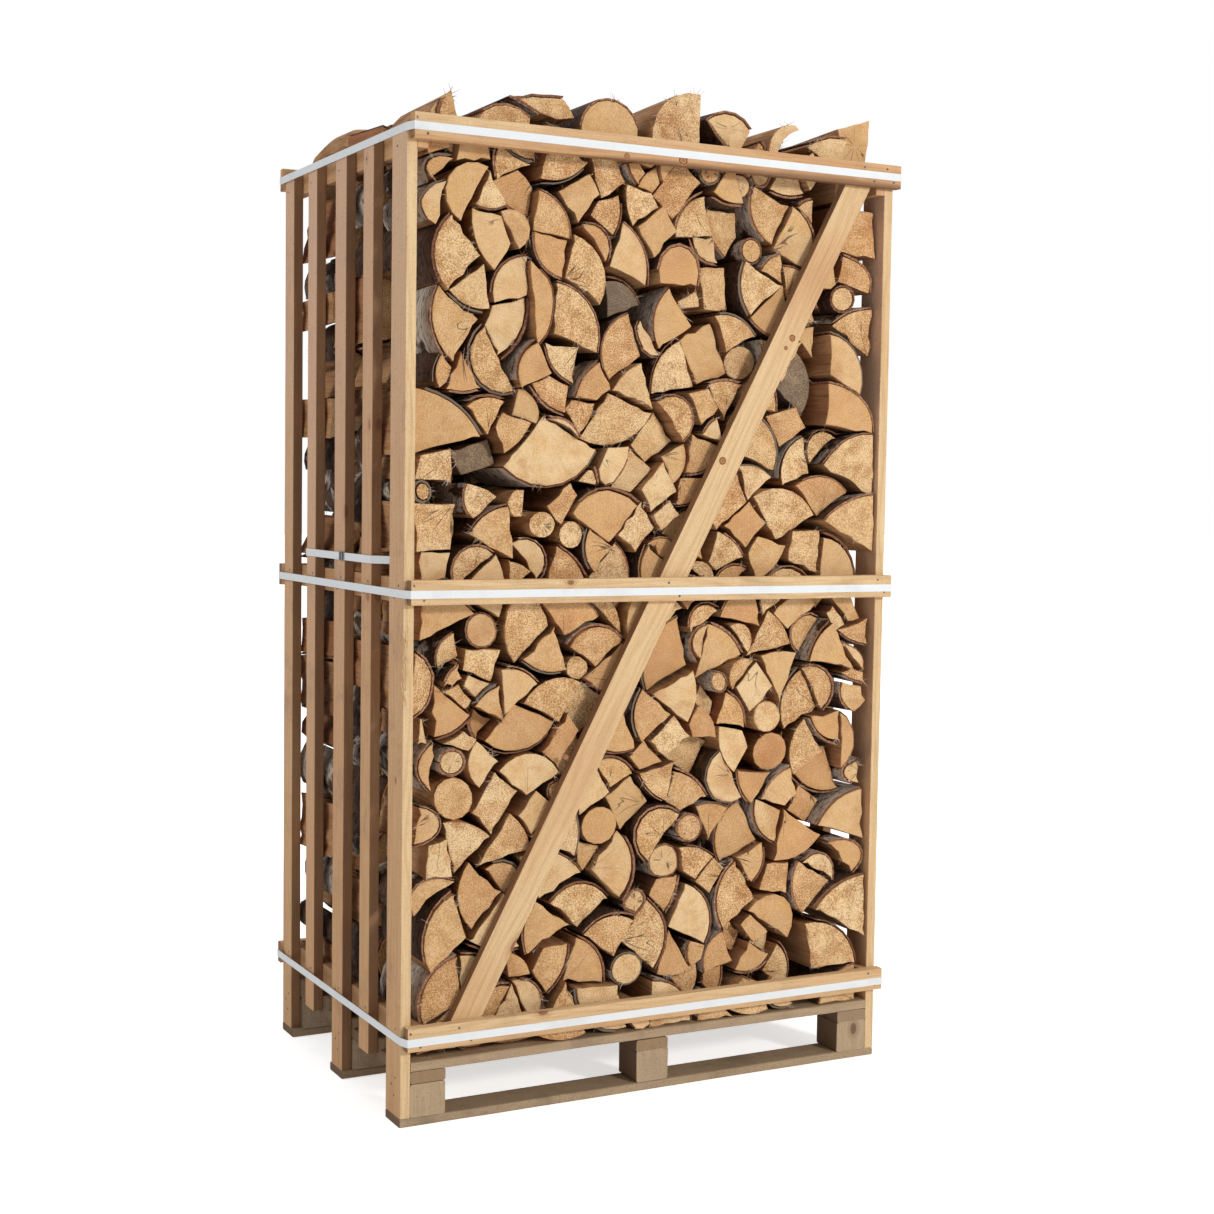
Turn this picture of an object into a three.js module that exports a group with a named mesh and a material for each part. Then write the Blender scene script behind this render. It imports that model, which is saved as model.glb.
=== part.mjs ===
// A crate of split birch firewood: a slatted softwood crate nailed round a block pallet,
// filled with three ranks of split logs and held by flat plastic straps.
// Millimetres. The origin is on the ground under the middle of the crate, +X runs to the right along
// the long front, +Y to the back and +Z up. The logs lie along Y, with their cut ends to the front.
import * as THREE from "three";

// Driving dimensions
const CRATE_LENGTH = 1150; // along X, over the outer faces of the side boards
const CRATE_DEPTH = 800; // along Y, over the faces of the front and back rails
const CRATE_HEIGHT = 2000; // ground to the top of the front and back rails; the heap rises above it
const SIDE_HEIGHT = 1978; // ground to the top of the sides, which end behind the top strap
const BOARD = 22; // thickness of every crate board
const RAIL_ENDS = [-568, 580]; // ends of the front rails; the back rails are turned half a turn
const GAP = 0.3; // clearance between pieces that touch
const EASE = 1.5; // chamfer along the long edges of a sawn board

const PALLET = {
  runner: { width: 80, height: 18 },
  block: { length: 76, height: 68 },
  stringer: { width: 76, height: 24 },
  deck: { width: 98, height: 20, count: 5 },
};

// Heights of the three levels of rails, bottom edge and top edge. The top rails of a side sit lower.
const RAILS = {
  bottom: [158, 206],
  middle: [1048, 1097],
  top: [CRATE_HEIGHT - 50, CRATE_HEIGHT],
};
const INNER_RAILS = { ...RAILS, top: [SIDE_HEIGHT - 42, SIDE_HEIGHT] };

// The upright boards of a side, front to back: distance behind the front rail, width, and whether
// the board is a post that stands on a runner or a slat that ends at the stringer
const UPRIGHTS = [
  { name: "post_front", from: 0, width: 80, post: true },
  { name: "slat_front", from: 183, width: 58, post: false },
  { name: "post_middle", from: 344, width: 67, post: true },
  { name: "slat_back", from: 534, width: 58, post: false },
  { name: "post_back", from: 693, width: 62, post: true },
];
const SLAT_FOOT = 100; // height of the lower end of a slat

const BRACE = { width: 68, foot: -457, head: 491, low: 160, high: 1968 }; // width is measured along X
const STRAP = { width: 16, thickness: 1 };
const STRAP_HEIGHTS = { bottom: 177, middle: 1069, top: 1974 }; // middle of each strap
const TIE = { height: 1130, standOff: 1.2, front: -195, back: 214, reach: 46, inset: 44, bend: 6 };
const SEAL = { length: 32, height: 18, wall: 0.9, at: -23 };

const HALF_LENGTH = CRATE_LENGTH / 2;
const HALF_DEPTH = CRATE_DEPTH / 2;
const SIDE_INNER = HALF_LENGTH - BOARD - GAP; // where the pallet and the inner rails begin
const INNER_RAIL_FACE = SIDE_INNER - BOARD; // inner face of the rails inside the slats
const FRAME_DEPTH = HALF_DEPTH - BOARD - GAP; // half the depth between the front and back rails

// Heights of the pallet's layers
const BLOCK_FOOT = PALLET.runner.height + GAP;
const BLOCK_TOP = BLOCK_FOOT + PALLET.block.height;
const STRINGER_TOP = BLOCK_TOP + GAP + PALLET.stringer.height;
const DECK_TOP = STRINGER_TOP + GAP + PALLET.deck.height;

// The stack of logs
const RANKS = ["front", "middle", "back"];
const STACK_DEPTH = FRAME_DEPTH - BOARD - GAP; // half the depth between the two braces
const STACK = {
  foot: DECK_TOP + GAP,
  crown: 1985, // top of the stack between the logs that crown it
  half: SIDE_INNER - GAP, // half length between the slats
  halfAtRails: INNER_RAIL_FACE - GAP, // half length between the inner rails
  front: -STACK_DEPTH,
  logLength: (2 * STACK_DEPTH - (RANKS.length - 1) * GAP) / RANKS.length,
};

const finish = (color, roughness, metalness = 0) => () =>
  new THREE.MeshStandardMaterial({ color, roughness, metalness });
const pine = finish(0xd6ac76, 0.75);
const palletWood = finish(0xa99877, 0.85);
const birch = finish(0xd9b98c, 0.85);
const splitBirch = finish(0xcfa772, 0.85);
const strapWhite = finish(0xe4ebf2, 0.4);
const steel = finish(0x8b8d90, 0.4, 1);

const crate = new THREE.Group();

function addMesh(name, geometry, material, parent = crate) {
  const mesh = new THREE.Mesh(geometry, material());
  mesh.name = name;
  parent.add(mesh);
  return mesh;
}

const shapeOf = (points) => new THREE.Shape(points.map(([x, y]) => new THREE.Vector2(x, y)));

// A sawn board between two corners. Its long edges are eased, so its section has eight corners.
function addBoard(name, material, low, high) {
  const size = high.map((v, i) => v - low[i]);
  const along = size.indexOf(Math.max(...size));
  const half = [(along + 1) % 3, (along + 2) % 3].map((axis) => size[axis] / 2);
  const e = EASE;
  const corners = [
    [half[0], half[1] - e], [half[0] - e, half[1]], [e - half[0], half[1]], [-half[0], half[1] - e],
    [-half[0], e - half[1]], [e - half[0], -half[1]], [half[0] - e, -half[1]], [half[0], e - half[1]],
  ];
  const geometry = new THREE.ExtrudeGeometry(shapeOf(corners), { depth: size[along], bevelEnabled: false });
  geometry.translate(0, 0, -size[along] / 2);
  const board = addMesh(name, geometry, material);
  // The section's x, y and the extrusion follow each other round the axes, so a turn about (1, 1, 1) sets them.
  board.quaternion.setFromAxisAngle(new THREE.Vector3(1, 1, 1).normalize(), ((along + 1) % 3) * (2 * Math.PI) / 3);
  board.position.set(...low.map((v, i) => v + size[i] / 2));
  return board;
}

// A prism whose outline stands in the XZ plane, from the face at `front` backwards.
function addPrism(name, material, outline, front, depth) {
  const geometry = new THREE.ExtrudeGeometry(shapeOf(outline), { depth, bevelEnabled: false });
  const prism = addMesh(name, geometry, material);
  prism.rotation.x = Math.PI / 2;
  prism.position.y = front + depth;
  return prism;
}

// An outline from corners [x, z, bulge]: the side that leaves a corner with a bulge is an arc that stands
// out from its chord by that share of half the chord, or hollows in where the bulge is negative.
function withArcs(corners) {
  return corners.flatMap(([x, z, bulge = 0], i) => {
    if (!bulge) return [[x, z]];
    const [nextX, nextZ] = corners[(i + 1) % corners.length];
    const turn = 4 * Math.atan(bulge);
    const middle = [(x + nextX) / 2, (z + nextZ) / 2];
    const offset = (1 / bulge - bulge) / 4;
    const centre = [middle[0] - (nextZ - z) * offset, middle[1] + (nextX - x) * offset];
    const steps = Math.max(3, Math.ceil(Math.abs(turn) / 0.35));
    return Array.from({ length: steps }, (_, step) => {
      const angle = (turn * step) / steps;
      const [dx, dz] = [x - centre[0], z - centre[1]];
      return [
        centre[0] + dx * Math.cos(angle) - dz * Math.sin(angle),
        centre[1] + dx * Math.sin(angle) + dz * Math.cos(angle),
      ];
    });
  });
}

// Pallet: runners along X, three rows of blocks, stringers along Y and a deck along X
function addPallet() {
  const { runner, block, stringer, deck } = PALLET;
  const rows = {
    front: -FRAME_DEPTH + runner.width / 2,
    middle: 0,
    back: FRAME_DEPTH - runner.width / 2,
  };
  const columns = {
    left: -SIDE_INNER + block.length / 2,
    middle: 0,
    right: SIDE_INNER - block.length / 2,
  };
  for (const [row, y] of Object.entries(rows)) {
    const [near, far] = [y - runner.width / 2, y + runner.width / 2];
    addBoard(`runner_${row}`, palletWood, [-HALF_LENGTH, near, 0], [HALF_LENGTH, far, runner.height]);
    for (const [column, x] of Object.entries(columns)) {
      const low = [x - block.length / 2, near, BLOCK_FOOT];
      addBoard(`block_${row}_${column}`, palletWood, low, [x + block.length / 2, far, BLOCK_TOP]);
    }
  }
  for (const [column, x] of Object.entries(columns)) {
    const low = [x - stringer.width / 2, -FRAME_DEPTH, BLOCK_TOP + GAP];
    addBoard(`stringer_${column}`, palletWood, low, [x + stringer.width / 2, FRAME_DEPTH, STRINGER_TOP]);
  }
  const pitch = (2 * FRAME_DEPTH - deck.width) / (deck.count - 1);
  for (let i = 0; i < deck.count; i++) {
    const near = -FRAME_DEPTH + i * pitch;
    const low = [-SIDE_INNER, near, STRINGER_TOP + GAP];
    addBoard(`deck_board_${i + 1}`, palletWood, low, [SIDE_INNER, near + deck.width, DECK_TOP]);
  }
}

// A side of the crate: five uprights outside and three rails nailed to their inner faces
function addSide(side, sign) {
  const span = (outer, inner) => [outer * sign, inner * sign].sort((a, b) => a - b);
  const [low, high] = span(HALF_LENGTH, HALF_LENGTH - BOARD);
  for (const { name, from, width, post } of UPRIGHTS) {
    const near = -FRAME_DEPTH + from;
    const foot = post ? PALLET.runner.height + GAP : SLAT_FOOT;
    addBoard(`${side}_${name}`, pine, [low, near, foot], [high, near + width, SIDE_HEIGHT]);
  }
  const [inLow, inHigh] = span(SIDE_INNER, INNER_RAIL_FACE);
  for (const [level, [foot, top]] of Object.entries(INNER_RAILS)) {
    addBoard(`${side}_inner_rail_${level}`, pine, [inLow, -FRAME_DEPTH, foot], [inHigh, FRAME_DEPTH, top]);
  }
}

// The front or back frame: three rails outside and one diagonal brace behind them.
// The back is the front turned half a turn.
function addFrame(face, sign) {
  const between = (a, b) => [a * sign, b * sign].sort((p, q) => p - q);
  const [near, far] = between(HALF_DEPTH, HALF_DEPTH - BOARD);
  for (const [level, [foot, top]] of Object.entries(RAILS)) {
    const [left, right] = between(-RAIL_ENDS[0], -RAIL_ENDS[1]);
    addBoard(`${face}_rail_${level}`, pine, [left, near, foot], [right, far, top]);
  }
  const { width, foot, head, low, high } = BRACE;
  const mirror = -sign; // the front brace leans right, the back one left
  const outline = [
    [foot - width / 2, low], [foot + width / 2, low], [head + width / 2, high], [head - width / 2, high],
  ].map(([x, z]) => [x * mirror, z]);
  const [braceNear] = between(FRAME_DEPTH, FRAME_DEPTH - BOARD);
  addPrism(`${face}_brace`, pine, mirror > 0 ? outline : outline.reverse(), braceNear, BOARD);
}

// A closed outline moved outwards, or inwards where the distance is negative
function offsetLoop(points, distance) {
  const vectors = points.map(([x, y]) => new THREE.Vector2(x, y));
  const count = vectors.length;
  const normals = vectors.map((point, i) => {
    const along = vectors[(i + 1) % count].clone().sub(point).normalize();
    return new THREE.Vector2(along.y, -along.x);
  });
  return vectors.map((point, i) => {
    const before = normals[(i + count - 1) % count];
    const miter = before.clone().add(normals[i]).normalize();
    return point.clone().addScaledVector(miter, distance / miter.dot(normals[i]));
  });
}

// A strap drawn tight round the crate: it bears on the ends of the rails and on the edges of the posts
function addStrap(level) {
  const front = [[-HALF_LENGTH, -FRAME_DEPTH], [RAIL_ENDS[0], -HALF_DEPTH], [RAIL_ENDS[1], -HALF_DEPTH]];
  const loop = [...front, ...front.map(([x, y]) => [-x, -y])];
  const shape = new THREE.Shape(offsetLoop(loop, GAP + STRAP.thickness));
  shape.holes.push(new THREE.Path(offsetLoop(loop, GAP)));
  const geometry = new THREE.ExtrudeGeometry(shape, { depth: STRAP.width, bevelEnabled: false });
  addMesh(`strap_${level}`, geometry, strapWhite).position.z = STRAP_HEIGHTS[level] - STRAP.width / 2;
}

// The outline of a ribbon of even thickness along a polyline
function ribbon(points, thickness) {
  const vectors = points.map(([x, y]) => new THREE.Vector2(x, y));
  const normals = vectors.slice(1).map((point, i) => {
    const along = point.clone().sub(vectors[i]).normalize();
    return new THREE.Vector2(along.y, -along.x);
  });
  const edge = (sign) =>
    vectors.map((point, i) => {
      const before = normals[Math.max(i - 1, 0)];
      const after = normals[Math.min(i, normals.length - 1)];
      const miter = before.clone().add(after).normalize();
      const reach = (sign * thickness) / 2 / miter.dot(after);
      return point.clone().addScaledVector(miter, reach);
    });
  return new THREE.Shape([...edge(1), ...edge(-1).reverse()]);
}

// The tie strap lies over the middle boards of the left side, and both ends turn in between the boards.
// The seal is a steel sleeve crimped round it.
function addTie() {
  const { height, standOff, front, back, reach, inset, bend } = TIE;
  const x = -(HALF_LENGTH + standOff + STRAP.thickness / 2);
  const route = [
    [x + inset, front - reach],
    [x + bend, front - bend],
    [x, front],
    [x, back],
    [x + bend, back + bend],
    [x + inset, back + reach],
  ];
  const geometry = new THREE.ExtrudeGeometry(ribbon(route, STRAP.thickness), {
    depth: STRAP.width,
    bevelEnabled: false,
  });
  addMesh("tie_strap", geometry, strapWhite).position.z = height - STRAP.width / 2;

  const face = STRAP.thickness / 2 + GAP; // from the middle of the strap to the sleeve's inner face
  const [halfIn, halfOut] = [SEAL.height / 2 - SEAL.wall, SEAL.height / 2];
  const section = [
    [face, -halfOut], [face, -halfIn], [-face, -halfIn], [-face, halfIn],
    [face, halfIn], [face, halfOut], [-face - SEAL.wall, halfOut], [-face - SEAL.wall, -halfOut],
  ].map(([dx, dz]) => [x + dx, height + dz]);
  addPrism("tie_seal", steel, section, SEAL.at - SEAL.length / 2, SEAL.length);
}

// The logs that crown the front rank, each with the shape of its cut end and its set-back in mm
const TOP_LOGS = [
  { corners: [[-515, 1986], [-452, 1986], [-470, 2058, 0.15], [-515, 2015]], back: 8 },
  { corners: [[-424, 1986], [-305, 1986], [-294, 2028, 0.45], [-424, 2008]], back: 2 },
  { corners: [[-300, 2044], [-253, 2027], [-194, 2036], [-219, 2077], [-271, 2074], [-347, 2062]], back: 16 },
  { corners: [[-189, 1986], [-60, 1986], [-46, 2031, 0.8], [-189, 2020]], back: 6 },
  { corners: [[-22, 2003], [93, 2001], [97, 2112, 0.4], [-22, 2030]], back: 0 },
  { corners: [[189, 1990], [229, 2055, 0.45], [108, 2062], [137, 2030]], back: 9 },
  { corners: [[285, 1995, -0.3], [346, 2064], [336, 2073, 0.5], [268, 1995]], back: 4 },
  { corners: [[461, 1988], [525, 1988], [532, 2055], [533, 2104], [448, 2076], [457, 2043]], back: 12 },
];

// Humps of the logs on top of each rank: middle, half width and height of the top
const HUMPS = {
  front: [[32, 46, 1999], [128, 33, 2018], [243, 25, 2038], [329, 27, 2034], [407, 48, 2037]],
  middle: [
    [-462, 56, 2046], [-352, 50, 2062], [-246, 52, 2040], [-130, 60, 2074], [0, 64, 2088],
    [124, 56, 2060], [234, 50, 2044], [342, 54, 2030], [460, 60, 2078],
  ],
  back: [
    [-474, 48, 2052], [-382, 40, 2034], [-284, 54, 2072], [-166, 60, 2052], [-48, 54, 2082],
    [66, 56, 2062], [182, 56, 2080], [296, 54, 2048], [406, 52, 2064], [494, 30, 2040],
  ],
};

// A rank of stacked logs as one body, with the true outside of the stack: it narrows between the inner
// rails, and its top follows the logs. On the left the middle notch also clears the ends of the tie strap.
function addRank(rank, index) {
  const { foot, crown, half, halfAtRails, front, logLength } = STACK;
  const notches = (middleTop) => [
    [INNER_RAILS.bottom[0] - GAP, INNER_RAILS.bottom[1] + GAP],
    [INNER_RAILS.middle[0] - GAP, middleTop],
  ];
  const edge = (sign, middleTop) => [
    [sign * half, foot],
    ...notches(middleTop).flatMap(([low, high]) => [
      [sign * half, low], [sign * halfAtRails, low], [sign * halfAtRails, high], [sign * half, high],
    ]),
    [sign * half, INNER_RAILS.top[0] - GAP],
    [sign * halfAtRails, INNER_RAILS.top[0] - GAP],
    [sign * halfAtRails, crown],
  ];
  const steps = 6;
  const humps = [...HUMPS[rank]].reverse().flatMap(([middle, halfWidth, top]) =>
    Array.from({ length: steps + 1 }, (_, i) => {
      const angle = (Math.PI * i) / steps;
      return [middle + halfWidth * Math.cos(angle), crown + (top - crown) * Math.sin(angle)];
    }),
  );
  const tieClearance = TIE.height + STRAP.width / 2 + 4;
  const outline = [
    ...edge(1, INNER_RAILS.middle[1] + GAP),
    ...humps,
    ...edge(-1, tieClearance).reverse(),
  ];
  addPrism(`log_rank_${rank}`, splitBirch, outline, front + index * (logLength + GAP), logLength);
}

addPallet();
addSide("left", -1);
addSide("right", 1);
addFrame("front", -1);
addFrame("back", 1);
Object.keys(STRAP_HEIGHTS).forEach(addStrap);
addTie();
RANKS.forEach(addRank);
TOP_LOGS.forEach(({ corners, back }, i) => {
  addPrism(`top_log_${i + 1}`, birch, withArcs(corners), STACK.front + back, STACK.logLength - back);
});

export default crate;
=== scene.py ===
import math
import random

import bmesh
import bpy
import numpy as np
from mathutils import Matrix, Vector, noise


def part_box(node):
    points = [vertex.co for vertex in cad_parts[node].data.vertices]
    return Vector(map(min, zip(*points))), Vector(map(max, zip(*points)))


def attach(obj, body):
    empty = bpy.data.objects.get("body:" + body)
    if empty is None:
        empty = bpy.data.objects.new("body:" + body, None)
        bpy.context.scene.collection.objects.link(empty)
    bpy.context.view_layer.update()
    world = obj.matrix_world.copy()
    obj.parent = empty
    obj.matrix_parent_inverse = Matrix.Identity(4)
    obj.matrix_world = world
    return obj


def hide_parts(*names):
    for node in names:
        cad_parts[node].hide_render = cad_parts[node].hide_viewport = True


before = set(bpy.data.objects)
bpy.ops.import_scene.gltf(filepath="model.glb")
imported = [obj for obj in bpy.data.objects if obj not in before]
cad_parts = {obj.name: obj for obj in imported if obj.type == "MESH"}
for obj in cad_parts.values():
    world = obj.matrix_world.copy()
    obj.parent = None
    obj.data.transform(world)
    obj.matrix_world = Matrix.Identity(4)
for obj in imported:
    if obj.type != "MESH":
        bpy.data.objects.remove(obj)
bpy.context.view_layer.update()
# The noise that roughens boards and logs starts at the same place each run
noise.seed_set(1)

# Camera, in metres and degrees. Yaw turns it from +Y towards +X.
cameraView = {"place": (-1.912, -3.789, 1.287), "yaw": 27.65, "pitch": -3.72, "roll": 0.84, "lens": 55.2}


def addCamera():
    yaw, pitch, roll = (math.radians(cameraView[k]) for k in ("yaw", "pitch", "roll"))
    ahead = Vector((math.sin(yaw) * math.cos(pitch), math.cos(yaw) * math.cos(pitch), math.sin(pitch)))
    level = Vector((math.cos(yaw), -math.sin(yaw), 0))
    upright = level.cross(ahead)
    right = level * math.cos(roll) + upright * math.sin(roll)
    up = right.cross(ahead)
    camera = bpy.data.objects.new("camera", bpy.data.cameras.new("camera"))
    camera.data.lens = cameraView["lens"]
    turn = Matrix((right, up, -ahead)).transposed().to_4x4()
    camera.matrix_world = Matrix.Translation(cameraView["place"]) @ turn
    bpy.context.scene.collection.objects.link(camera)
    bpy.context.scene.camera = camera


addCamera()
print("camera is up")


def paint(red, green, blue):
    # 0-255 display values to the linear colour a shader takes
    parts = [c / 255 for c in (red, green, blue)]
    return tuple(c / 12.92 if c <= 0.04045 else ((c + 0.055) / 1.055) ** 2.4 for c in parts) + (1.0,)


class Wire:
    # an output socket that can be used in sums
    def __init__(self, sheet, socket):
        self.sheet = sheet
        self.socket = socket

    def __add__(self, other):
        return self.sheet.maths("ADD", self, other)

    def __sub__(self, other):
        return self.sheet.maths("SUBTRACT", self, other)

    def __mul__(self, other):
        return self.sheet.maths("MULTIPLY", self, other)

    def __truediv__(self, other):
        return self.sheet.maths("DIVIDE", self, other)

    def __rsub__(self, other):
        return self.sheet.maths("SUBTRACT", other, self)

    __radd__ = __add__
    __rmul__ = __mul__


class Sheet:
    # one material and its nodes
    def __init__(self, name):
        self.material = bpy.data.materials.new(name)
        self.material.use_nodes = True
        self.tree = self.material.node_tree
        self.tree.nodes.clear()

    def node(self, kind, settings, sockets, output=0):
        made = self.tree.nodes.new("ShaderNode" + kind)
        for name, value in settings.items():
            if name == "stops":
                ramp = made.color_ramp
                while len(ramp.elements) < len(value):
                    ramp.elements.new(1.0)
                for element, (place, colour) in zip(ramp.elements, value):
                    element.position = place
                    element.color = colour
            else:
                setattr(made, name, value)
        for name, value in sockets.items():
            if isinstance(value, Wire):
                self.tree.links.new(value.socket, made.inputs[name])
            else:
                made.inputs[name].default_value = value
        return Wire(self, made.outputs[output])

    def maths(self, operation, *values):
        return self.node("Math", {"operation": operation}, dict(enumerate(values)))

    def vectors(self, operation, *values, output=0):
        return self.node("VectorMath", {"operation": operation}, dict(enumerate(values)), output)

    def stretch(self, vector, x, y, z=1.0):
        return self.vectors("MULTIPLY", vector, (x, y, z))

    def split(self, vector):
        return [self.node("SeparateXYZ", {}, {0: vector}, axis) for axis in range(3)]

    def join(self, x, y, z):
        return self.node("CombineXYZ", {}, {0: x, 1: y, 2: z})

    def fade(self, value, low, high, start=0.0, end=1.0):
        # start below low, end above high, smooth between
        return self.node("MapRange", {"interpolation_type": "SMOOTHSTEP"},
                         {0: value, 1: low, 2: high, 3: start, 4: end})

    def cloud(self, vector, scale, detail=3.0, roughness=0.55, distortion=0.0):
        sockets = {"Vector": vector, "Scale": scale, "Detail": detail, "Roughness": roughness,
                   "Distortion": distortion}
        return self.node("TexNoise", {"noise_dimensions": "3D"}, sockets)

    def mix(self, factor, first, second):
        settings = {"data_type": "RGBA", "blend_type": "MIX"}
        return self.node("Mix", settings, {0: factor, 6: first, 7: second}, 2)

    def share(self, own, factor):
        # another number from 0 to 1 out of a piece's own
        return self.maths("FRACT", own * factor)

    def bump(self, height, distance, strength=1.0):
        return self.node("Bump", {}, {"Height": height, "Distance": distance, "Strength": strength})

    def finish(self, colour, roughness, gloss, **more):
        # the shader takes the colour and the rest, and the material is done
        sockets = {"Base Color": colour, "Roughness": roughness, "Specular IOR Level": gloss}
        sockets.update((name.replace("_", " "), value) for name, value in more.items())
        shader = self.node("BsdfPrincipled", {}, sockets)
        made = self.tree.nodes.new("ShaderNodeOutputMaterial")
        self.tree.links.new(shader.socket, made.inputs["Surface"])
        return self.material


def tintOf(sheet):
    # what a piece says of itself: tone, age and a number of its own
    colour = sheet.node("Attribute", {"attribute_name": "tint"}, {})
    return [sheet.node("SeparateColor", {}, {0: colour}, channel) for channel in range(3)]


def sizeOf(sheet):
    # how far the outline of a log reaches from its pith, in metres
    return sheet.node("Attribute", {"attribute_name": "tint"}, {}, "Alpha") * 0.2


def grainOf(sheet, own):
    # the grain map, in metres, shifted so that no two pieces share a pattern
    flat = sheet.node("UVMap", {"uv_map": "grain"}, {})
    across, along = sheet.split(flat)[:2]
    return flat, across, along, sheet.join(across, along, own * 7.0)


# Cut ends of the logs. The grain map is measured from the pith.
cutEndFinish = {
    "cream": paint(231, 201, 156),
    "tan": paint(211, 171, 121),
    "golden": paint(222, 176, 116),
    "orange": paint(203, 154, 106),
    "heart": paint(182, 124, 76),
    "fleck": paint(238, 208, 161),
    "speckle": paint(146, 96, 56),
    "crack": paint(48, 28, 16),
    "weathered": paint(104, 92, 82),
    "ringPitch": 0.0042,
    "roughness": 0.82,
}


def makeCutEnd():
    look = cutEndFinish
    s = Sheet("cut_end")
    tone, age, own = tintOf(s)
    flat, u, v, place = grainOf(s, own)
    radius = s.vectors("LENGTH", flat, output=1)
    aim = s.vectors("NORMALIZE", flat)
    # radial streaks and cracks depend on the direction from the pith, so they run outwards
    aimX, aimY = s.split(aim)[:2]
    spoke = s.join(aimX, aimY, radius * 1.2 + own * 9.0)
    wobble = s.cloud(place, 26.0, 3.0)
    streak = s.cloud(spoke, 26.0, 2.0)
    rough = s.share(own, 5.3)
    colour = s.mix(s.fade(tone, 0.0, 0.55), look["orange"], look["tan"])
    colour = s.mix(s.fade(tone, 0.45, 1.0), colour, look["cream"])
    broad = s.cloud(place, 15.0, 4.0, 0.6)
    colour = s.mix(s.fade(broad, 0.42, 0.7, 0.0, 0.6), colour, look["golden"])
    # discoloured heartwood in some logs, and a browner band under the bark in others
    heart = s.fade(radius + (wobble - 0.5) * 0.06, 0.016, 0.058, 1.0, 0.0)
    heart = heart * s.fade(s.share(own, 13.7), 0.6, 0.95, 0.0, 0.55)
    colour = s.mix(heart, colour, look["heart"])
    share = radius / sizeOf(s) + (wobble - 0.5) * 0.3
    rim = s.fade(share, 0.78, 1.02) * s.fade(s.share(own, 23.3), 0.35, 0.9, 0.0, 0.6)
    colour = s.mix(rim, colour, look["heart"])
    patch = s.fade(s.cloud(place, 12.0, 5.0, 0.65), 0.52, 0.72, 0.0, 0.5)
    colour = s.mix(patch, colour, look["heart"])
    rings = s.maths("SINE", (radius + (wobble - 0.5) * 0.016) * (2 * math.pi / look["ringPitch"]))
    colour = s.mix(s.fade(rings, -0.6, 1.0, 0.0, 0.10), colour, look["speckle"])
    colour = s.mix(s.fade(streak, 0.4, 0.8, 0.0, 0.22), colour, look["speckle"])
    # torn fibres show as brown and pale flecks, thick on some logs and faint on others
    grit = s.cloud(place, 370.0, 2.5, 0.75)
    coarse = s.cloud(place, 30.0, 4.0, 0.6)
    level = grit + (coarse - 0.5) * 0.4
    colour = s.mix(s.fade(level, 0.48, 0.62) * s.fade(rough, 0.1, 0.9, 0.2, 0.8), colour, look["speckle"])
    colour = s.mix(s.fade(level, 0.5, 0.37) * s.fade(rough, 0.1, 0.9, 0.25, 0.85), colour, look["fleck"])
    # faint arcs left by the saw, turned a different way on each log
    turn = own * 40.0
    sawn = u * s.maths("COSINE", turn) + v * s.maths("SINE", turn)
    marks = s.maths("SINE", sawn * 900.0 + wobble * 8.0)
    colour = s.mix(s.fade(marks, 0.2, 1.0, 0.0, 0.07), colour, look["cream"])
    # drying cracks run out from the pith and stop before the bark
    forks = s.cloud(s.join(aimX, aimY, own * 31.0 + radius * 3.5), 1.0, 2.0, 0.5)
    line = s.maths("ABSOLUTE", forks - 0.5) * (radius + 0.004)
    crack = s.fade(line, 0.00004, 0.0003, 1.0, 0.0)
    crack = crack * s.fade(share + (coarse - 0.5) * 0.8, 0.45, 0.75, 1.0, 0.0)
    crack = crack * s.fade(s.share(own, 3.9), 0.62, 0.66) * s.fade(radius, 0.004, 0.012)
    colour = s.mix(crack * 0.75, colour, look["crack"])
    colour = s.mix(age * s.fade(level, 0.3, 0.6, 0.7, 1.0), colour, look["weathered"])
    height = grit * 0.5 + marks * 0.12 + rings * 0.1 + streak * 0.4 - crack * 2.0
    roughness = s.fade(grit, 0.3, 0.8, look["roughness"], 0.95)
    return s.finish(colour, roughness, 0.25, Normal=s.bump(height, 0.0012, 0.7))


# Split faces along the logs
splitFinish = {
    "fresh": paint(204, 158, 114),
    "tan": paint(170, 122, 82),
    "brown": paint(98, 62, 40),
    "red": paint(158, 96, 62),
    "weathered": paint(98, 84, 72),
    "roughness": 0.85,
}


def makeSplitFace():
    look = splitFinish
    s = Sheet("split_face")
    tone, age, own = tintOf(s)
    place = grainOf(s, own)[-1]
    fibre = s.cloud(s.stretch(place, 230.0, 9.0, 3.0), 1.0, 4.0, 0.65)
    broad = s.cloud(s.stretch(place, 30.0, 6.0, 3.0), 1.0, 3.0)
    colour = s.mix(s.fade(broad, 0.3, 0.7), look["tan"], look["fresh"])
    colour = s.mix(s.fade(tone, 0.0, 0.5, 0.7, 0.0), colour, look["red"])
    colour = s.mix(s.fade(fibre, 0.45, 0.75, 0.0, 0.6), colour, look["brown"])
    colour = s.mix(s.fade(s.share(own, 7.7), 0.5, 1.0, 0.0, 0.5), colour, look["brown"])
    colour = s.mix(s.fade(age, 0.0, 1.0), colour, look["weathered"])
    return s.finish(colour, look["roughness"], 0.25, Normal=s.bump(fibre + broad * 1.5, 0.004, 0.8))


# Bark: papery grey outside with dark dashes, torn to the red-brown under it
barkFinish = {
    "paper": paint(206, 194, 180),
    "grey": paint(98, 80, 66),
    "inner": paint(100, 58, 38),
    "crust": paint(92, 66, 48),
    "rind": paint(170, 124, 96),
    "dark": paint(36, 22, 16),
    "roughness": 0.8,
}


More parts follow.
